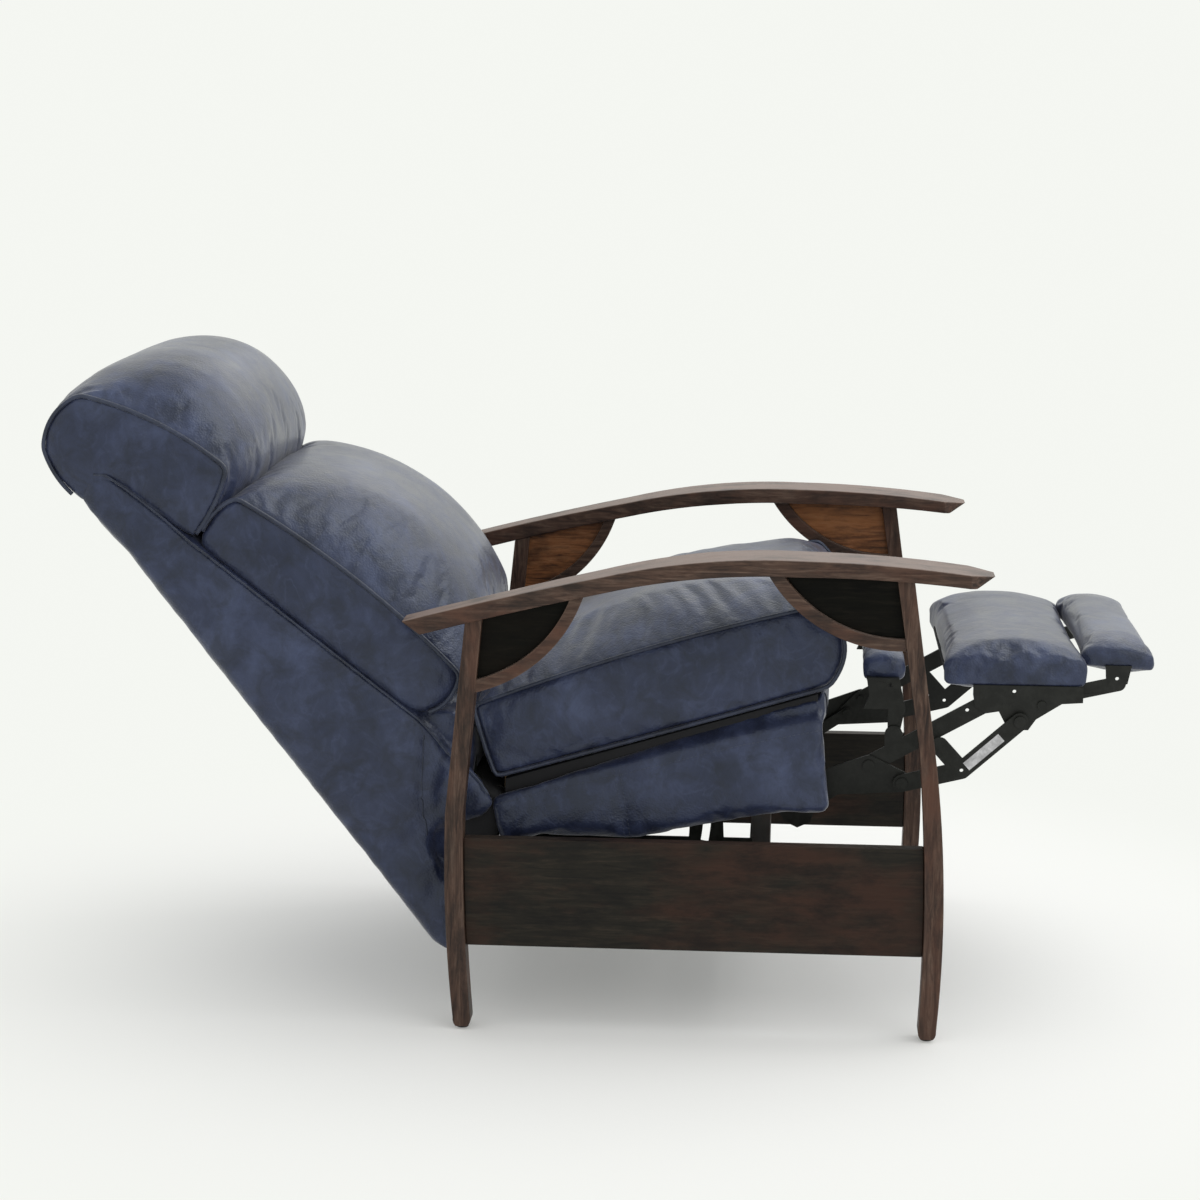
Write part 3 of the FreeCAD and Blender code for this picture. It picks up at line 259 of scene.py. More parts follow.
def inflate(piece, seams, voxel, cap, pressure=4.0, hold=30):
    """Remeshes a piece evenly and blows it up as cloth with its seams held, each point within a cap."""
    remesh = piece.modifiers.new("even", "REMESH")
    remesh.mode = "VOXEL"
    remesh.voxel_size = voxel * MM
    smooth = piece.modifiers.new("calm", "SMOOTH")
    smooth.factor = 0.5
    smooth.iterations = 4
    settled(piece)
    tree, _ = seam_tree(seams)
    reach = [tree.find(v.co)[2] / MM for v in piece.data.vertices]
    held = piece.vertex_groups.new(name="held")
    held.add([i for i, d in enumerate(reach) if d < voxel * 1.2], 1.0, "REPLACE")
    cloth = piece.modifiers.new("fill", "CLOTH")
    settings = cloth.settings
    settings.quality = 5
    settings.mass = 0.3
    settings.tension_stiffness = 12
    settings.compression_stiffness = 12
    settings.shear_stiffness = 5
    settings.bending_stiffness = 0.6
    settings.use_pressure = True
    settings.uniform_pressure_force = pressure
    settings.effector_weights.gravity = 0
    settings.vertex_group_mass = "held"
    settings.shrink_min = -0.015
    cloth.collision_settings.use_collision = False
    cloth.collision_settings.use_self_collision = False
    cloth.point_cache.frame_start = 1
    cloth.point_cache.frame_end = CLOTH_FRAMES
    scene = bpy.context.scene
    for number in range(1, CLOTH_FRAMES + 1):
        scene.frame_set(number)
    graph = bpy.context.evaluated_depsgraph_get()
    blown = piece.evaluated_get(graph).to_mesh()
    moves = [after.co - before.co for before, after in zip(piece.data.vertices, blown.vertices)]
    piece.evaluated_get(graph).to_mesh_clear()
    piece.modifiers.clear()
    piece.vertex_groups.clear()
    scene.frame_set(1)
    for vertex, move, near in zip(piece.data.vertices, moves, reach):
        limit = cap * MM * smoothstep(near / hold)
        if move.length > limit:
            move = move.normalized() * limit
        vertex.co += move


def calmed(piece, seams, reach, turns):
    """Evens out the steps that the remesh leaves near some lines."""
    tree, _ = seam_tree(seams)
    near = [v.index for v in piece.data.vertices if tree.find(v.co)[2] < reach * MM]
    piece.vertex_groups.new(name="near").add(near, 1.0, "REPLACE")
    smooth = piece.modifiers.new("even_edge", "SMOOTH")
    smooth.factor = 0.5
    smooth.iterations = turns
    smooth.vertex_group = "near"
    settled(piece)
    piece.vertex_groups.clear()


def pleat(piece, seams, depth, reach, pitch, seed=0.0, where=None):
    """Small gathers that run away from the seams."""
    tree, places = seam_tree(seams)
    mesh = piece.data
    normals = [v.normal.copy() for v in mesh.vertices]
    for vertex, normal in zip(mesh.vertices, normals):
        if where and not where(vertex.co):
            continue
        _, index, near = tree.find(vertex.co)
        near /= MM
        if near > reach * 1.6:
            continue
        run = places[index][1] / MM
        fade = smoothstep(near / 7) * math.exp(-near / reach)
        wave = noise.noise(Vector((run / pitch, near / (reach * 1.5), seed)))
        wave += 0.5 * noise.noise(Vector((run / pitch * 2.3, near / reach, seed + 9)))
        vertex.co += normal * (wave * depth * MM * fade)


def groove(piece, lines, depth, width):
    """Draws the surface in along stitched lines."""
    tree, _ = seam_tree(lines)
    mesh = piece.data
    normals = [v.normal.copy() for v in mesh.vertices]
    for vertex, normal in zip(mesh.vertices, normals):
        near = tree.find(vertex.co)[2] / MM
        if near < width * 3:
            vertex.co -= normal * (depth * MM * math.exp(-(near / width) ** 2))


def crumple(piece, depth, size, seed, stretch=(1, 1, 1)):
    """Slow unevenness over a whole soft surface."""
    mesh = piece.data
    normals = [v.normal.copy() for v in mesh.vertices]
    for vertex, normal in zip(mesh.vertices, normals):
        place = Vector(c / MM / size * s for c, s in zip(vertex.co, stretch))
        wave = noise.fractal(place + Vector((seed, seed * 2, 0)), 1.2, 2.0, 2)
        vertex.co += normal * (wave * depth * MM)


def refined(piece):
    subdivision = piece.modifiers.new("fine", "SUBSURF")
    subdivision.levels = 1
    subdivision.render_levels = 1


def stitched(name, seam, surface, aim, gap, pitch=6.0):
    """A row of raised stitches beside an open seam, on a surface, on the side that aim points to."""
    tree = BVHTree.FromPolygons([v.co for v in surface.data.vertices],
                                [p.vertices for p in surface.data.polygons])
    length = sum((b - a).length for a, b in zip(seam, seam[1:]))
    spots = resampled(seam, max(4, round(length / (pitch * MM))), closed=False)
    vertices, faces = [], []
    for i, spot in enumerate(spots):
        ahead = spots[min(i + 1, len(spots) - 1)]
        behind = spots[max(i - 1, 0)]
        along = (ahead - behind).normalized()
        if along.length < 0.5:
            continue
        inward = aim - spot
        inward = (inward - along * inward.dot(along)).normalized()
        found, normal, _, _ = tree.find_nearest(spot + inward * gap * MM)
        if found is None:
            continue
        across = along.cross(normal).normalized()
        base = len(vertices)
        for lift, half, reach in ((-0.3, 0.55, 2.1), (0.45, 0.3, 1.5)):
            for u, v in ((-1, -1), (1, -1), (1, 1), (-1, 1)):
                vertices.append(found + normal * lift * MM + along * u * reach * MM
                                + across * v * half * MM)
        for a, b, c, d in ((0, 1, 5, 4), (1, 2, 6, 5), (2, 3, 7, 6), (3, 0, 4, 7), (4, 5, 6, 7)):
            faces.append((base + a, base + b, base + c, base + d))
    return mesh_object(name, vertices, faces)


def on_side(points, across, count):
    """An open line of side plane points, at one distance from the middle and evenly spaced."""
    return resampled([at(f, z, across) for f, z in points], count, closed=False)


def laid(line, surface):
    """A line moved onto the nearest points of a surface."""
    tree = BVHTree.FromPolygons([v.co for v in surface.data.vertices],
                                [p.vertices for p in surface.data.polygons])
    return [tree.find_nearest(point)[0] for point in line]


# Materials

def shader(name):
    """A new material with its node tree and its main shader."""
    material = bpy.data.materials.new(name)
    material.use_nodes = True
    return material, material.node_tree, material.node_tree.nodes["Principled BSDF"]


def add(tree, kind, **values):
    """Adds a node; a value is a number, a colour or the output that feeds that input."""
    node = tree.nodes.new(kind)
    for key, value in values.items():
        name = key.replace("_", " ")
        if key.startswith("set_"):
            setattr(node, key[4:], value)
        elif isinstance(value, bpy.types.NodeSocket):
            tree.links.new(value, node.inputs[name])
        else:
            node.inputs[name].default_value = value
    return node


def ramp(tree, factor, stops):
    node = tree.nodes.new("ShaderNodeValToRGB")
    elements = node.color_ramp.elements
    while len(elements) < len(stops):
        elements.new(0.5)
    for element, (place, colour) in zip(elements, stops):
        element.position = place
        element.color = (*colour, 1) if len(colour) == 3 else colour
    tree.links.new(factor, node.inputs["Fac"])
    return node.outputs["Color"]


def grey(value):
    return (value, value, value)


def mixed(tree, factor, first, second, blend="MIX"):
    node = tree.nodes.new("ShaderNodeMix")
    node.data_type = "RGBA"
    node.blend_type = blend
    pairs = ((node.inputs[0], factor), (node.inputs[6], first), (node.inputs[7], second))
    for socket, value in pairs:
        if isinstance(value, bpy.types.NodeSocket):
            tree.links.new(value, socket)
        else:
            socket.default_value = (*value, 1) if isinstance(value, tuple) else value
    return node.outputs[2]


def stretched(tree, scale):
    """Object coordinates with a scale for each axis."""
    place = tree.nodes.new("ShaderNodeTexCoord").outputs["Object"]
    return add(tree, "ShaderNodeMapping", Vector=place, Scale=scale).outputs["Vector"]


def leather(name, dark, middle, light):
    """Pull up leather: cloudy colour, dark rubbed spots, soft pale veins and a fine pebble."""
    material, tree, main = shader(name)
    place = stretched(tree, (1, 1, 1))
    clouds = add(tree, "ShaderNodeTexNoise", Vector=place, Scale=9.0, Detail=6.0, Roughness=0.6,
                 Distortion=0.4)
    patches = add(tree, "ShaderNodeTexNoise", Vector=place, Scale=27.0, Detail=5.0, Roughness=0.62,
                  Distortion=0.6)
    body = ramp(tree, clouds.outputs["Fac"], [(0.33, dark), (0.52, middle), (0.74, light)])
    spots = ramp(tree, patches.outputs["Fac"],
                 [(0.36, grey(0.52)), (0.5, grey(0.93)), (0.66, grey(1.25))])
    colour = mixed(tree, 0.85, body, spots, "MULTIPLY")
    threads = add(tree, "ShaderNodeTexNoise", Vector=place, Scale=15.0, Detail=3.0, Roughness=0.5,
                  Distortion=1.6)
    lines = ramp(tree, threads.outputs["Fac"],
                 [(0.455, grey(0.0)), (0.5, grey(1.0)), (0.545, grey(0.0))])
    worn = ramp(tree, patches.outputs["Fac"], [(0.4, grey(0.0)), (0.62, grey(0.32))])
    veins = mixed(tree, 1.0, lines, worn, "MULTIPLY")
    colour = mixed(tree, veins, colour, light)
    tree.links.new(colour, main.inputs["Base Color"])
    gloss = ramp(tree, patches.outputs["Fac"], [(0.3, grey(0.30)), (0.75, grey(0.46))])
    tree.links.new(gloss, main.inputs["Roughness"])
    main.inputs["Specular IOR Level"].default_value = 0.42
    main.inputs["Specular Tint"].default_value = (0.82, 0.9, 1.0, 1.0)
    main.inputs["Coat Weight"].default_value = 0.15
    main.inputs["Coat Roughness"].default_value = 0.28
    main.inputs["Sheen Weight"].default_value = 0.16
    main.inputs["Sheen Roughness"].default_value = 0.4
    pebble = add(tree, "ShaderNodeTexVoronoi", set_feature="SMOOTH_F1", Vector=place, Scale=400.0)
    pores = add(tree, "ShaderNodeTexNoise", Vector=place, Scale=200.0, Detail=3.0)
    fine = add(tree, "ShaderNodeBump", Height=pebble.outputs["Distance"], Strength=0.6, Distance=0.0008)
    rough = add(tree, "ShaderNodeBump", Height=pores.outputs["Fac"], Strength=0.3, Distance=0.0008,
                Normal=fine.outputs["Normal"])
    folds = add(tree, "ShaderNodeBump", Height=patches.outputs["Fac"], Strength=0.25, Distance=0.004,
                Normal=rough.outputs["Normal"])
    tree.links.new(folds.outputs["Normal"], main.inputs["Normal"])
    return material


def wood(name, grain, dark, middle, warm, pale, top_sheen=0.0, shine=0.4):
    """Worn stained timber, its grain along one axis of the chair, with a painted sheen that lightens its
    upward faces and pale edges that are partly wear and partly painted highlight.
    """
    material, tree, main = shader(name)
    along = {"x": (3, 34, 34), "y": (34, 3, 34), "z": (34, 34, 3)}[grain]
    fibre = add(tree, "ShaderNodeTexNoise", Vector=stretched(tree, along), Scale=4.2, Detail=9.0,
                Roughness=0.68, Distortion=0.9)
    loose = {"x": (1, 3, 3), "y": (3, 1, 3), "z": (3, 3, 1)}[grain]
    cloud = add(tree, "ShaderNodeTexNoise", Vector=stretched(tree, loose), Scale=4.6, Detail=5.0,
                Roughness=0.6)
    stain = add(tree, "ShaderNodeTexNoise", Vector=stretched(tree, loose), Scale=11.0, Detail=6.0,
                Roughness=0.7)
    lines = ramp(tree, fibre.outputs["Fac"], [(0.34, dark), (0.52, middle), (0.7, pale)])
    red = ramp(tree, cloud.outputs["Fac"], [(0.48, grey(0.0)), (0.66, grey(0.75))])
    colour = mixed(tree, red, lines, warm)
    smudge = ramp(tree, stain.outputs["Fac"], [(0.35, grey(0.22)), (0.54, grey(1.0))])
    colour = mixed(tree, 0.85, colour, smudge, "MULTIPLY")
    # Painted highlight: faces that look up are lightened toward a warm grey, as the light from above
    # falls on them, mottled by the smudges.
    if top_sheen:
        facing = add(tree, "ShaderNodeSeparateXYZ")
        tree.links.new(tree.nodes.new("ShaderNodeNewGeometry").outputs["Normal"], facing.inputs[0])
        top_sheen_mask = ramp(tree, facing.outputs["Z"], [(0.55, grey(0.0)), (0.9, grey(top_sheen))])
        painted_top_sheen = mixed(tree, 1.0, top_sheen_mask, smudge, "MULTIPLY")
        colour = mixed(tree, painted_top_sheen, colour, (0.23, 0.175, 0.15))
    # Pale eased edges: partly rubbed wear and partly a painted highlight where light catches the edges.
    bevel = add(tree, "ShaderNodeBevel", Radius=0.0035, set_samples=4)
    geometry = tree.nodes.new("ShaderNodeNewGeometry")
    turn = add(tree, "ShaderNodeVectorMath", set_operation="DOT_PRODUCT")
    tree.links.new(bevel.outputs["Normal"], turn.inputs[0])
    tree.links.new(geometry.outputs["Normal"], turn.inputs[1])
    edge = ramp(tree, turn.outputs["Value"], [(0.8, grey(0.55)), (0.985, grey(0.0))])
    edge = mixed(tree, 1.0, edge, smudge, "MULTIPLY")
    colour = mixed(tree, edge, colour, pale)
    tree.links.new(colour, main.inputs["Base Color"])
    gloss = ramp(tree, stain.outputs["Fac"], [(0.3, grey(0.42)), (0.7, grey(0.62))])
    tree.links.new(gloss, main.inputs["Roughness"])
    main.inputs["Specular IOR Level"].default_value = shine
    bump = add(tree, "ShaderNodeBump", Height=fibre.outputs["Fac"], Strength=0.35, Distance=0.0009)
    tree.links.new(bump.outputs["Normal"], main.inputs["Normal"])
    return material


def steel(name, colour, gloss, metallic=0.0, shine=0.5):
    """Lacquered or plated steel with faint scuffs."""
    material, tree, main = shader(name)
    place = stretched(tree, (1, 1, 1))
    scuff = add(tree, "ShaderNodeTexNoise", Vector=place, Scale=60.0, Detail=6.0, Roughness=0.7)
    pale = tuple(min(1.0, c * 1.9 + 0.006) for c in colour)
    tone = ramp(tree, scuff.outputs["Fac"], [(0.42, colour), (0.75, pale)])
    tree.links.new(tone, main.inputs["Base Color"])
    dulled = ramp(tree, scuff.outputs["Fac"], [(0.3, grey(gloss)), (0.7, grey(gloss + 0.16))])
    tree.links.new(dulled, main.inputs["Roughness"])
    grit = add(tree, "ShaderNodeTexNoise", Vector=place, Scale=420.0, Detail=2.0)
    bump = add(tree, "ShaderNodeBump", Height=grit.outputs["Fac"], Strength=0.15, Distance=0.0003)
    tree.links.new(bump.outputs["Normal"], main.inputs["Normal"])
    main.inputs["Metallic"].default_value = metallic
    main.inputs["Specular IOR Level"].default_value = shine
    return material


def weave(name, colour):
    """Woven strap or lining."""
    material, tree, main = shader(name)
    place = stretched(tree, (1, 1, 1))
    threads = []
    for axis in ("X", "Y"):
        wave = add(tree, "ShaderNodeTexWave", set_bands_direction=axis, Vector=place, Scale=260.0,
                   Distortion=0.4)
        threads.append(wave.outputs["Fac"])
    cloth = mixed(tree, 0.5, threads[0], threads[1])
    tone = ramp(tree, cloth, [(0.2, tuple(c * 0.55 for c in colour)), (0.8, colour)])
    tree.links.new(tone, main.inputs["Base Color"])
    main.inputs["Roughness"].default_value = 0.85
    bump = add(tree, "ShaderNodeBump", Height=cloth, Strength=0.4, Distance=0.0005)
    tree.links.new(bump.outputs["Normal"], main.inputs["Normal"])
    return material


NAVY = leather("navy_leather", (0.010, 0.0145, 0.038), (0.021, 0.028, 0.062), (0.050, 0.065, 0.128))
WELT = leather("navy_welt", (0.008, 0.010, 0.023), (0.018, 0.023, 0.045), (0.042, 0.052, 0.088))
THREAD = leather("navy_thread", (0.026, 0.031, 0.055), (0.040, 0.048, 0.080), (0.070, 0.082, 0.12))
# Arms, legs and trim carry a painted top sheen of 0.8, and the darker walnut of the aprons and cross
# rails carries one of 0.1.
WALNUT = {
    grain: wood(f"walnut_{grain}", grain, (0.018, 0.0085, 0.0055), (0.070, 0.038, 0.025),
                (0.092, 0.038, 0.022), (0.140, 0.092, 0.066), 0.8, 0.3)
    for grain in "xyz"
}
DARK = {
    grain: wood(f"dark_walnut_{grain}", grain, (0.006, 0.0050, 0.0035), (0.014, 0.0115, 0.0075),
                (0.042, 0.017, 0.010), (0.030, 0.022, 0.015), 0.1, 0.2)
    for grain in "xyz"
}
# The quarter panels are one walnut in two painted tones: near black as painted shade on the near panel,
# bright amber as painted light on the far panel's lit inner face.
SHADED_PANEL_WALNUT = wood("panel_walnut_painted_shade", "y", (0.002, 0.002, 0.0012), (0.004, 0.0038, 0.0024), (0.007, 0.005, 0.003),
            (0.012, 0.010, 0.007), shine=0.08)
LIT_PANEL_WALNUT = wood("panel_walnut_painted_light", "y", (0.034, 0.012, 0.004), (0.25, 0.095, 0.032), (0.33, 0.13, 0.04),
             (0.34, 0.16, 0.07), shine=0.3)
TIMBER = wood("frame_timber", "x", (0.20, 0.14, 0.08), (0.36, 0.26, 0.16), (0.40, 0.25, 0.13),
              (0.5, 0.38, 0.25))
BLACK = steel("black_steel", (0.0075, 0.0082, 0.0066), 0.34, shine=0.25)
ZINC = steel("zinc_steel", (0.30, 0.30, 0.31), 0.3, metallic=0.9)
FOIL = steel("plain_foil", (0.42, 0.42, 0.43), 0.42, metallic=0.5)
PLASTIC = steel("glide_plastic", (0.02, 0.02, 0.02), 0.5)
# Black lining cloth, which on the seat rails serves as painted shade.
LINING_AND_SHADE = weave("black_lining_and_shade", (0.010, 0.010, 0.012))
WEBBING = weave("webbing", (0.09, 0.085, 0.08))


def paint(piece, material):
    piece.data.materials.clear()
    piece.data.materials.append(material)


def soft(piece, body, nodes=(), material=NAVY):
    """Puts a soft piece on its body, in place of its plain solids."""
    paint(piece, material)
    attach(piece, body)
    if nodes:
        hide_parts(*nodes)


# Cushions

HALF_SHARES = [-1, -0.985, -0.95, -0.9, -0.83, -0.74, -0.62, -0.48, -0.32, -0.16]
SHARES = HALF_SHARES + [0] + [-share for share in HALF_SHARES[::-1]]


def sections_of(ends, middles, half, power, count, passes):
    """Sections from one end of a cushion to the other, fuller toward the middle."""
    made = []
    for share in SHARES:
        swell = 1 - abs(share) ** power
        line = bulged(blended(ends, middles, swell))
        line = rounded(resampled(line, count), passes)
        made.append((share * half, line))
    return made


def end_rims(sections):
    """The outlines of a cushion's two end sections, in metres."""
    return [[at(p.x, p.y, across) for p in line] for across, line in (sections[0], sections[-1])]


def cushion(name, body, ends, middles, half, passes=3, cap=16, depth=2.4, welted=None):
    """A stuffed cushion with a welt along the edges of its end panels."""
    sections = sections_of(ends, middles, half, CUSHION_SQUARENESS, CUSHION_POINTS, passes)
    rims = end_rims(sections)
    piece = mesh_object(name, *lofted(sections, END_DOME))
    inflate(piece, rims, CUSHION_VOXEL, cap)
    inside = (half - 5) * MM
    seams = [[p for p in rim if welted(-p.y / MM, p.z / MM)] if welted else rim for rim in rims]
    pleat(piece, seams, depth, 26, 12, seed=half * 0.01, where=lambda p: abs(p.x) < inside)
    pleat(piece, seams, depth * 0.35, 26, 15, seed=half * 0.02, where=lambda p: abs(p.x) > inside)
    crumple(piece, 1.2, 120, half * 0.1)
    refined(piece)
    soft(piece, body, [name])
    welts = []
    for rim in rims:
        for run, closed in kept_runs(rim, welted):
            welts.append(tube(f"{name}_run_{len(welts)}", run, WELT_RADIUS * MM, closed))
    soft(joined(f"{name}_welts", welts), body, material=WELT)


def kept_runs(rim, welted):
    """The stretches of a closed rim that carry a welt."""
    if welted is None:
        return [(rim, True)]
    flags = [welted(-p.y / MM, p.z / MM) for p in rim]
    if all(flags):
        return [(rim, True)]
    first = next(i for i, flag in enumerate(flags) if flag and not flags[i - 1])
    runs, run = [], []
    for step in range(len(rim) + 1):
        i = (first + step) % len(rim)
        if step < len(rim) and flags[i]:
            run.append(rim[i])
        elif run:
            if len(run) > 4:
                runs.append((run, False))
            run = []
    return runs


SEAT_SLOPE = math.degrees(math.atan(0.3013))


def make_seat_cushion():
    front = 468
    origin = (-134, 327.3)
    ends = [(0, 5, 2), (-1, 107, 9), (front + 17, 113, 26), (front - 2, 4, 1)]
    middles = [(0, 1, 6), (0, 113, 44), (front + 21, 120, 32), (front, 1, 1)]
    ends, middles = (leaned(corners, origin, SEAT_SLOPE) for corners in (ends, middles))
    cushion("seat_cushion", "seat", ends, middles, 264, passes=1, cap=12, depth=0.35)


def make_back_cushion():
    origin, slope = (-262, 428.3), 51.7
    ends = leaned([(-1, -16, 1), (0, 347, 10), (84, 346, 14), (86, -34, 18)], origin, slope)
    middles = leaned([(-1, -8, 1), (1, 350, 2), (108, 344, 66), (124, -34, 22)], origin, slope)
    sine, cosine = math.sin(math.radians(slope)), math.cos(math.radians(slope))

    def welted(forward, height):
        depth = (forward - origin[0]) * cosine + (height - origin[1]) * sine
        return depth > 14

    cushion("back_cushion", "back", ends, middles, 278, passes=2, welted=welted)


def make_head_cushion():
    ends = [(-683, 696, 9), (-739, 772, 13), (-688, 843, 13),
            (-492, 748, 6), (-540, 653, 1), (-650, 726, 2)]
    middles = [(-686, 700, 10), (-741, 776, 14), (-700, 858, 76),
               (-458, 746, 4), (-537, 653, 1), (-652, 730, 2)]

    def welted(forward, height):
        over_flap = height > 734 + (-655 - forward) * 0.71 + 9
        return over_flap or forward < -698 or height > 700 and forward > -560

    cushion("head_cushion", "back", ends, middles, 280, welted=welted)


def make_pad(name, body, rear, front, bottom, side, crown, half, fall=0):
    """A footrest pad whose leather wraps its board; it may fall a little toward its front."""
    ends = [(rear, bottom, 3), (rear + 1, bottom + side, 9), (front - 1, bottom + side - fall, 4),
            (front, bottom - fall, 1)]
    middles = [(rear, bottom, 3), (rear, bottom + side + 2, crown), (front, bottom + side + 2 - fall, 5),
               (front, bottom - fall, 1)]
    sections = sections_of(ends, middles, half, PAD_SQUARENESS, PAD_POINTS, 3)
    rims = end_rims(sections)
    piece = mesh_object(name, *lofted(sections, END_DOME))
    foot = [[p for p in line if p.z < (bottom + 3) * MM] for line in rims]
    inflate(piece, foot, PAD_VOXEL, 7, 3.0, hold=16)
    pleat(piece, rims, 1.1, 20, 10, seed=half * 0.03)
    crumple(piece, 0.7, 80, half * 0.1)
    refined(piece)
    soft(piece, body, [name])


# Leather covers

FLAP_INNER, FLAP_OUTER = 268, 286
FLAP_HEAD = [(-697, 705), (-688, 724), (-671, 736), (-654, 735), (-623, 713), (-584, 683), (-544, 648)]
FLAP_FRONT = [(-262, 430), (-237, 411), (-218, 390), (-198, 365), (-167, 340), (-154, 326), (-144, 309)]
FLAP_FOOT = [(-136, 308), (-135, 298), (-146, 283), (-174, 270), (-204, 272), (-218, 258), (-223, 241),
             (-222, 226), (-214, 204), (-192, 186), (-176, 180), (-172, 100), (-180, 92), (-196, 84),
             (-210, 92)]
FLAP_SEAM = [(-229, 392), (-232, 352), (-234, 304), (-230, 276), (-225, 250)]


def plate(outline, inner, outer, dome=2.0, count=220, passes=2):
    """Vertices and faces of a padded panel between two distances from the middle."""
    line = rounded(resampled([Vector(p) for p in outline], count), passes)
    centre = sum(line, Vector((0, 0))) / count
    steps = [(0.006, 0.0), (0.0, 0.25), (0.0, 0.75), (0.006, 1.0)]
    sections = [(inner + (outer - inner) * place, [p.lerp(centre, shrink) for p in line])
                for shrink, place in steps]
    return lofted(sections, dome)


def make_back_cover():
    rear = [(-273, 170), (-455, 405), (-627, 630)]
    core = FLAP_HEAD + [(-262, 428), (-180, 420), (-168, 380), (-178, 320), (-196, 240), (-186, 180),
                        (-174, 110), (-182, 96), (-204, 88)] + rear
    parts = [mesh_object("back_core", *plate(core, -266, 266, 3))]
    for label, side in SIDES:
        low, high = sorted((side * FLAP_INNER, side * FLAP_OUTER))
        raised = [(f + 2, z + 3.5) for f, z in FLAP_HEAD[1:] + FLAP_FRONT[:-1]]
        flap = FLAP_HEAD[:1] + raised + FLAP_FRONT[-1:] + FLAP_FOOT + rear
        parts.append(mesh_object(f"back_flap_{label}", *plate(flap, low, high, 3)))
    rear_band = [(-690, 704), (-627, 632), (-455, 407), (-273, 171), (-208, 88), (-200, 92), (-265, 178),
                 (-447, 412), (-619, 638), (-682, 712)]
    parts.append(mesh_object("back_band", *plate(rear_band, -284, 284, 1)))
    piece = joined("back_cover", parts)
    edges, folds, creases = [], [], []
    fold = [(-694, 706), (-627, 633), (-455, 407), (-273, 171), (-212, 90)]
    edge = [(f + 1, z + 2) for f, z in FLAP_HEAD[2:] + FLAP_FRONT]
    for _, side in SIDES:
        folds.append(on_side(fold, side * FLAP_OUTER, 170))
        edges.append(on_side(edge, side * FLAP_OUTER, 170))
        creases.append(on_side(FLAP_SEAM, side * (FLAP_OUTER + 3), 40))
    inflate(piece, edges + folds, 7.0, 8, 2.5, hold=45)
    calmed(piece, folds, 26, 14)
    welts = [tube(f"back_welt_{i}", seam, THIN_WELT_RADIUS * MM, False) for i, seam in enumerate(edges)]
    pleat(piece, edges, 1.4, 40, 20, seed=3.0)
    crumple(piece, 1.3, 130, 7.0, (1, 0.5, 1))
    groove(piece, creases, 3.0, 5.0)
    refined(piece)
    soft(piece, "back", ["back_cover"])
    for i, line in enumerate(creases):
        welts.append(tube(f"back_line_{i}", laid(line, piece), CREASE_RADIUS * MM, False))
    soft(joined("back_cover_welts", welts), "back", material=WELT)
    lining = [(-128, 304), (-128, 262), (-134, 240), (-176, 222), (-198, 240), (-198, 300),
              (-178, 330)]
    hidden = mesh_object("back_tail_lining", *plate(lining, -262, 262, 1, count=80))
    soft(hidden, "back", material=LINING_AND_SHADE)


DECK_INNER, DECK_OUTER = 251, 274
DECK_ROLL = 20
DECK_SEAM = [(-136, 302), (-48, 327), (30, 346), (87, 362), (193, 391), (299, 414)]


def seam_height(forward):
    """Height of the seam along the sides of the seat box."""
    for (start, low), (end, high) in zip(DECK_SEAM, DECK_SEAM[1:]):
        if forward <= end:
            return low + (high - low) * (forward - start) / (end - start)
    return DECK_SEAM[-1][1]


def make_deck():
    side_line = [(-130, 246), (-132, 262), (-141, 302), (59, 372), (166, 409), (246, 433), (296, 447),
                 (301, 430), (305, 392), (315, 299), (308, 294), (262, 288), (195, 276), (128, 263),
                 (60, 251)]
    upright = [(29, 345), (36, 306), (44, 253)]
    parts, seams, rows = [], [], []
    for label, side in SIDES:
        low, high = sorted((side * DECK_INNER, side * DECK_OUTER))
        parts.append(mesh_object(f"deck_side_{label}", *plate(side_line, low, high, 1.5)))
        seams.append(on_side(DECK_SEAM, side * (DECK_OUTER + 1), 120))
        seams.append(on_side(upright, side * (DECK_OUTER + 1), 30))
    band = [(296.5, 413), (296.5, 452), (300, 457), (306, 452), (307, 432), (304, 413)]
    parts.append(mesh_object("deck_band", *plate(band, -262, 262, 0.5, count=60)))
    piece = joined("seat_deck_cover", parts)
    inflate(piece, seams, 5.5, 6, 2.0, hold=40)
    for vertex in piece.data.vertices:
        forward, height, across = -vertex.co.y / MM, vertex.co.z / MM, vertex.co.x / MM
        over = height - seam_height(forward)
        if abs(across) > 240 and over > 0:
            vertex.co.x -= math.copysign(DECK_ROLL * MM * smoothstep(over / 22), across)
    groove(piece, seams, 2.4, 4.5)
    pleat(piece, seams, 1.0, 50, 24, seed=5.0)
    crumple(piece, 1.2, 90, 4.0)
    refined(piece)
    soft(piece, "seat", ["seat_deck_cover"])
    for i, seam in enumerate(seams):
        if i % 2:
            aim, gaps = seam[0] + Vector((0, -0.4, 0)), (3.2, -3.2)
        else:
            aim, gaps = seam[len(seam) // 2] + Vector((0, 0, -0.4)), (6.0,)
        for gap in gaps:
            rows.append(stitched(f"deck_row_{i}_{gap}", seam, piece, aim, gap))
    soft(joined("seat_deck_stitches", rows), "seat", material=THREAD)


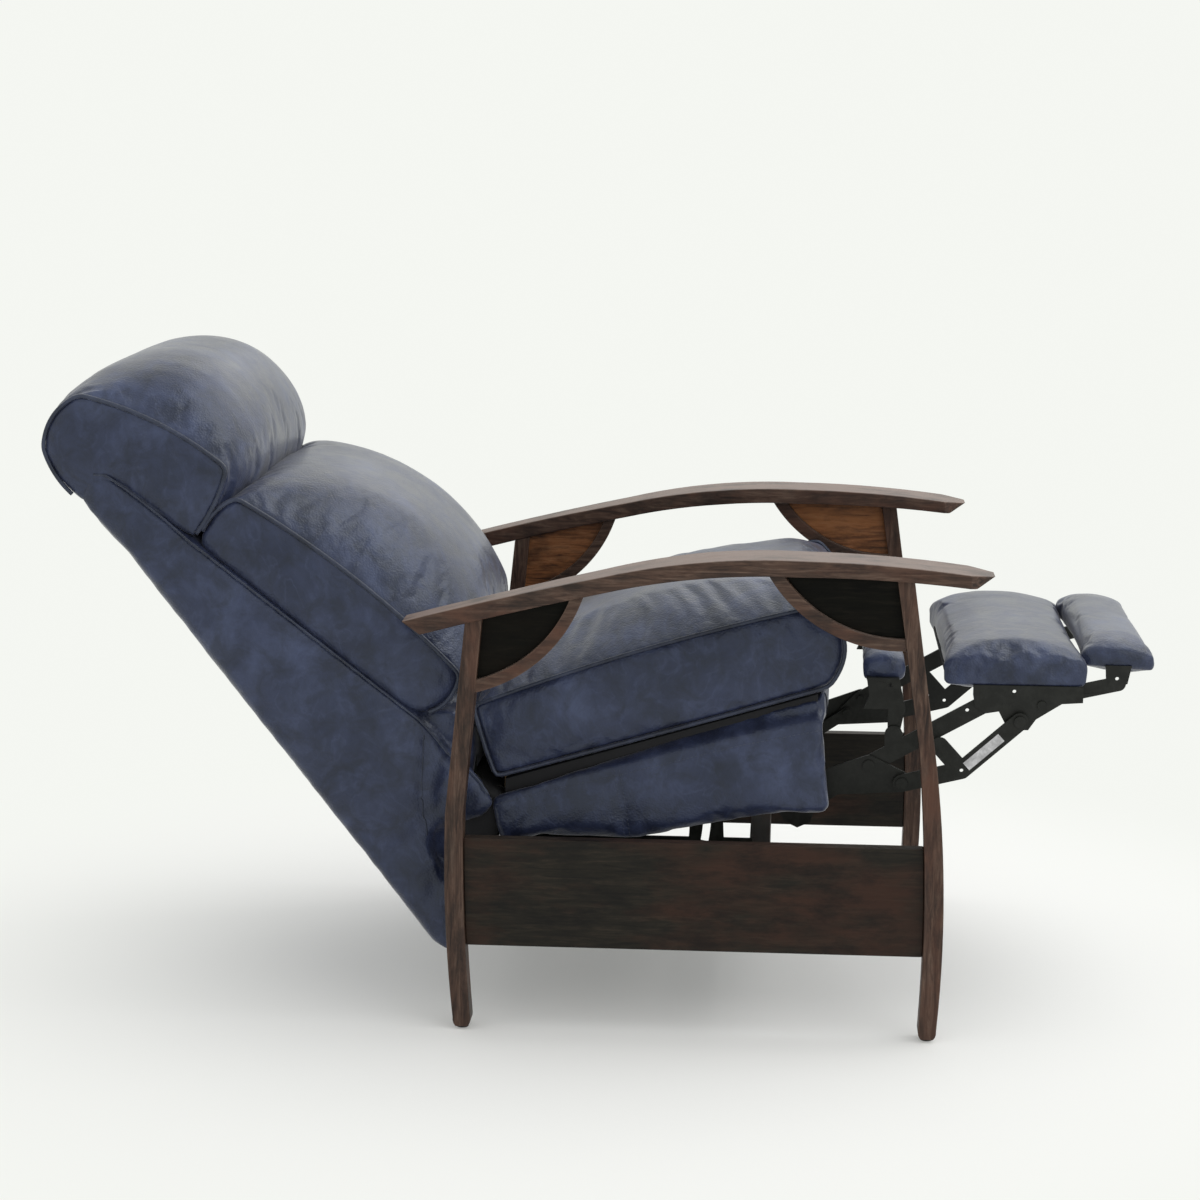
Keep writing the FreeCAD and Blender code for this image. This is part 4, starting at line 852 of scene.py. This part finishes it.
def make_foil():
    """Plain worn foil on the outer face of the lower link, without words or marks."""
    middle, along, half_length, half_width = (521, 369.3), (0.740, 0.672), 31, 6.5
    corners = []
    for run, rise in ((-1, -1), (1, -1), (1, 1), (-1, 1)):
        forward = middle[0] + along[0] * run * half_length - along[1] * rise * half_width
        height = middle[1] + along[1] * run * half_length + along[0] * rise * half_width
        corners.append((forward, height))
    pieces = []
    for across in (-216.55, -216.85):
        pieces.extend(at(f, z, across) for f, z in corners)
    faces = [(0, 1, 2, 3), (4, 5, 6, 7), (0, 1, 5, 4), (1, 2, 6, 5), (2, 3, 7, 6), (3, 0, 4, 7)]
    foil = mesh_object("plain_foil", pieces, faces)
    foil.data.shade_flat()
    paint(foil, FOIL)
    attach(foil, "lower_links")


# Rigid parts that keep their solids

def finish_solid(name, material, radius):
    """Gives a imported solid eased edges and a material."""
    piece = NODES[name]
    weld = piece.modifiers.new("weld", "WELD")
    weld.merge_threshold = 0.00002
    bevel = piece.modifiers.new("ease", "BEVEL")
    bevel.width = radius * MM
    bevel.segments = 2
    bevel.limit_method = "ANGLE"
    bevel.angle_limit = math.radians(32)
    bevel.harden_normals = False
    piece.data.shade_smooth()
    piece.modifiers.new("level", "WEIGHTED_NORMAL").keep_sharp = True
    paint(piece, material)


def dress_solids():
    for name in NODES:
        if name.startswith("arm"):
            finish_solid(name, WALNUT["y"], 3.0)
        elif "_leg_" in name:
            finish_solid(name, WALNUT["z"], 2.5)
        elif "trim" in name:
            finish_solid(name, WALNUT["y"], 1.5)
        elif "quarter_panel" in name:
            # The far panel takes the painted light tone and the near one the painted shade tone.
            finish_solid(name, LIT_PANEL_WALNUT if name.endswith("left") else SHADED_PANEL_WALNUT, 0.8)
        elif "apron" in name:
            finish_solid(name, DARK["y"], 1.6)
        elif "cross_rail" in name:
            finish_solid(name, DARK["x"], 1.5)
        elif name == "leg_glides":
            finish_solid(name, PLASTIC, 0.8)
        elif "webbing" in name:
            finish_solid(name, WEBBING, 0.3)
        elif "bolts" in name:
            finish_solid(name, ZINC, 0.6)
        # The seat side and front rails, which the leather covers in the chair, take the black lining as
        # painted shade for the dark gap under the seat cushion; the boards take it too.
        elif name.endswith("board") or name.startswith(("seat_side_rail", "seat_front_rail")):
            finish_solid(name, LINING_AND_SHADE, 1.0)
        elif name.startswith("back_side") or "_rail" in name and "base" not in name:
            finish_solid(name, TIMBER, 1.0)
        elif not NODES[name].hide_render:
            finish_solid(name, BLACK, 0.7)


# Light, floor and camera

def area_light(name, place, aim, size, power):
    light = bpy.data.lights.new(name, "AREA")
    light.shape = "RECTANGLE"
    light.size, light.size_y = size
    light.energy = power
    lamp = bpy.data.objects.new(name, light)
    bpy.context.scene.collection.objects.link(lamp)
    lamp.location = place
    lamp.rotation_mode = "QUATERNION"
    lamp.rotation_quaternion = (Vector(aim) - Vector(place)).to_track_quat("-Z", "Y")


def seen_share(tree):
    """One for rays that come from the camera, or by way of a glossy or clear surface."""
    path = tree.nodes.new("ShaderNodeLightPath")
    both = add(tree, "ShaderNodeMath", set_operation="MAXIMUM")
    tree.links.new(path.outputs["Is Camera Ray"], both.inputs[0])
    tree.links.new(path.outputs["Is Glossy Ray"], both.inputs[1])
    every = add(tree, "ShaderNodeMath", set_operation="MAXIMUM")
    tree.links.new(both.outputs[0], every.inputs[0])
    tree.links.new(path.outputs["Is Transmission Ray"], every.inputs[1])
    return every.outputs[0]


BACKDROP = (0.91, 0.925, 0.885, 1)
FLOOR_COLOUR = (0.86, 0.86, 0.845, 1)
BRIGHT_WAY = (0.50, -0.48, 0.72)


def make_floor():
    """A pale floor that keeps the shadow, lifted by a painted backdrop glow, and fades into the backdrop
    further out.
    """
    reach = 40
    mesh = bpy.data.meshes.new("floor")
    corners = [(-reach, -reach, 0), (reach, -reach, 0), (reach, reach, 0), (-reach, reach, 0)]
    mesh.from_pydata(corners, [], [(0, 1, 2, 3)])
    floor = bpy.data.objects.new("floor", mesh)
    bpy.context.scene.collection.objects.link(floor)
    material, tree, main = shader("pale_floor")
    main.inputs["Base Color"].default_value = FLOOR_COLOUR
    main.inputs["Roughness"].default_value = 0.8
    main.inputs["Specular IOR Level"].default_value = 0.1
    place = tree.nodes.new("ShaderNodeTexCoord").outputs["Object"]
    span = add(tree, "ShaderNodeVectorMath", set_operation="LENGTH")
    tree.links.new(place, span.inputs[0])
    far = add(tree, "ShaderNodeMapRange", set_interpolation_type="SMOOTHSTEP")
    tree.links.new(span.outputs["Value"], far.inputs["Value"])
    far.inputs["From Min"].default_value = 0.35
    far.inputs["From Max"].default_value = 1.35
    # Painted light: even beside the chair, a fifth of the floor seen by camera and glossy rays is
    # backdrop glow, which lightens the cast shadow.
    far.inputs["To Min"].default_value = 0.2
    share = add(tree, "ShaderNodeMath", set_operation="MULTIPLY")
    tree.links.new(far.outputs["Result"], share.inputs[0])
    tree.links.new(seen_share(tree), share.inputs[1])
    glow = add(tree, "ShaderNodeEmission", Color=BACKDROP, Strength=1.0)
    blend = tree.nodes.new("ShaderNodeMixShader")
    tree.links.new(share.outputs[0], blend.inputs[0])
    tree.links.new(main.outputs[0], blend.inputs[1])
    tree.links.new(glow.outputs[0], blend.inputs[2])
    tree.links.new(blend.outputs[0], tree.nodes["Material Output"].inputs["Surface"])
    floor.data.materials.append(material)


def make_world():
    """A studio that is bright behind and above the chair and dim on the viewer's side."""
    world = bpy.data.worlds.new("studio")
    world.use_nodes = True
    tree = world.node_tree
    sky = tree.nodes["Background"]
    way = add(tree, "ShaderNodeVectorMath", set_operation="DOT_PRODUCT")
    tree.links.new(tree.nodes.new("ShaderNodeTexCoord").outputs["Generated"], way.inputs[0])
    way.inputs[1].default_value = BRIGHT_WAY
    share = add(tree, "ShaderNodeMath", set_operation="MULTIPLY_ADD")
    tree.links.new(way.outputs["Value"], share.inputs[0])
    share.inputs[1].default_value = 0.5
    share.inputs[2].default_value = 0.5
    tone = ramp(tree, share.outputs[0], [(0.1, grey(0.56)), (0.5, grey(0.72)), (0.85, grey(1.0))])
    tree.links.new(tone, sky.inputs["Color"])
    sky.inputs["Strength"].default_value = 1.0
    backdrop = add(tree, "ShaderNodeBackground", Color=BACKDROP, Strength=1.0)
    blend = tree.nodes.new("ShaderNodeMixShader")
    tree.links.new(seen_share(tree), blend.inputs[0])
    tree.links.new(sky.outputs[0], blend.inputs[1])
    tree.links.new(backdrop.outputs[0], blend.inputs[2])
    tree.links.new(blend.outputs[0], tree.nodes["World Output"].inputs["Surface"])
    bpy.context.scene.world = world
    bpy.context.scene.view_settings.view_transform = "Standard"


def make_lights():
    area_light("key", (0.4, -1.8, 3.4), (0, 0, 0.4), (2.6, 2.6), 44)
    area_light("rear", (2.6, -0.6, 2.4), (0, 0, 0.5), (2.4, 1.8), 10)
    area_light("fill", (-2.6, -2.6, 1.7), (0, -0.5, 0.45), (2.4, 2.0), 16)


CAMERA_PLACE = (-3.819, -0.2483, 1.2505)
CAMERA_TURN = (3.931, 10.702, 0.368)
FOCAL_PIXELS = 2724.87
PHOTO_PIXELS = 1200


def make_camera():
    yaw, pitch, roll = (math.radians(angle) for angle in CAMERA_TURN)
    ahead = Vector((math.cos(yaw), math.sin(yaw), 0))
    right = Vector((math.sin(yaw), -math.cos(yaw), 0))
    up = Vector((0, 0, 1))
    look = ahead * math.cos(pitch) - up * math.sin(pitch)
    lift = up * math.cos(pitch) + ahead * math.sin(pitch)
    side = right * math.cos(roll) + lift * math.sin(roll)
    crown = lift * math.cos(roll) - right * math.sin(roll)
    data = bpy.data.cameras.new("camera")
    data.sensor_width = 36
    data.lens = data.sensor_width * FOCAL_PIXELS / PHOTO_PIXELS
    camera = bpy.data.objects.new("camera", data)
    bpy.context.scene.collection.objects.link(camera)
    turned = Matrix((side, crown, -look)).transposed()
    camera.matrix_world = Matrix.Translation(CAMERA_PLACE) @ turned.to_4x4()
    bpy.context.scene.camera = camera


make_floor()
make_world()
make_lights()
make_camera()
make_seat_cushion()
make_back_cushion()
make_head_cushion()
make_pad("footrest_pad", "footrest", 466, 655, 458.6, 36, 18, 206)
make_pad("flipper_pad", "flipper", 651, 746, 485.0, 21, 12, 187, 6)
make_pad("inner_pad", "inner_rest", 357.5, 412.5, 459.5, 27, 12, 187)
make_back_cover()
make_deck()
make_foil()
dress_solids()
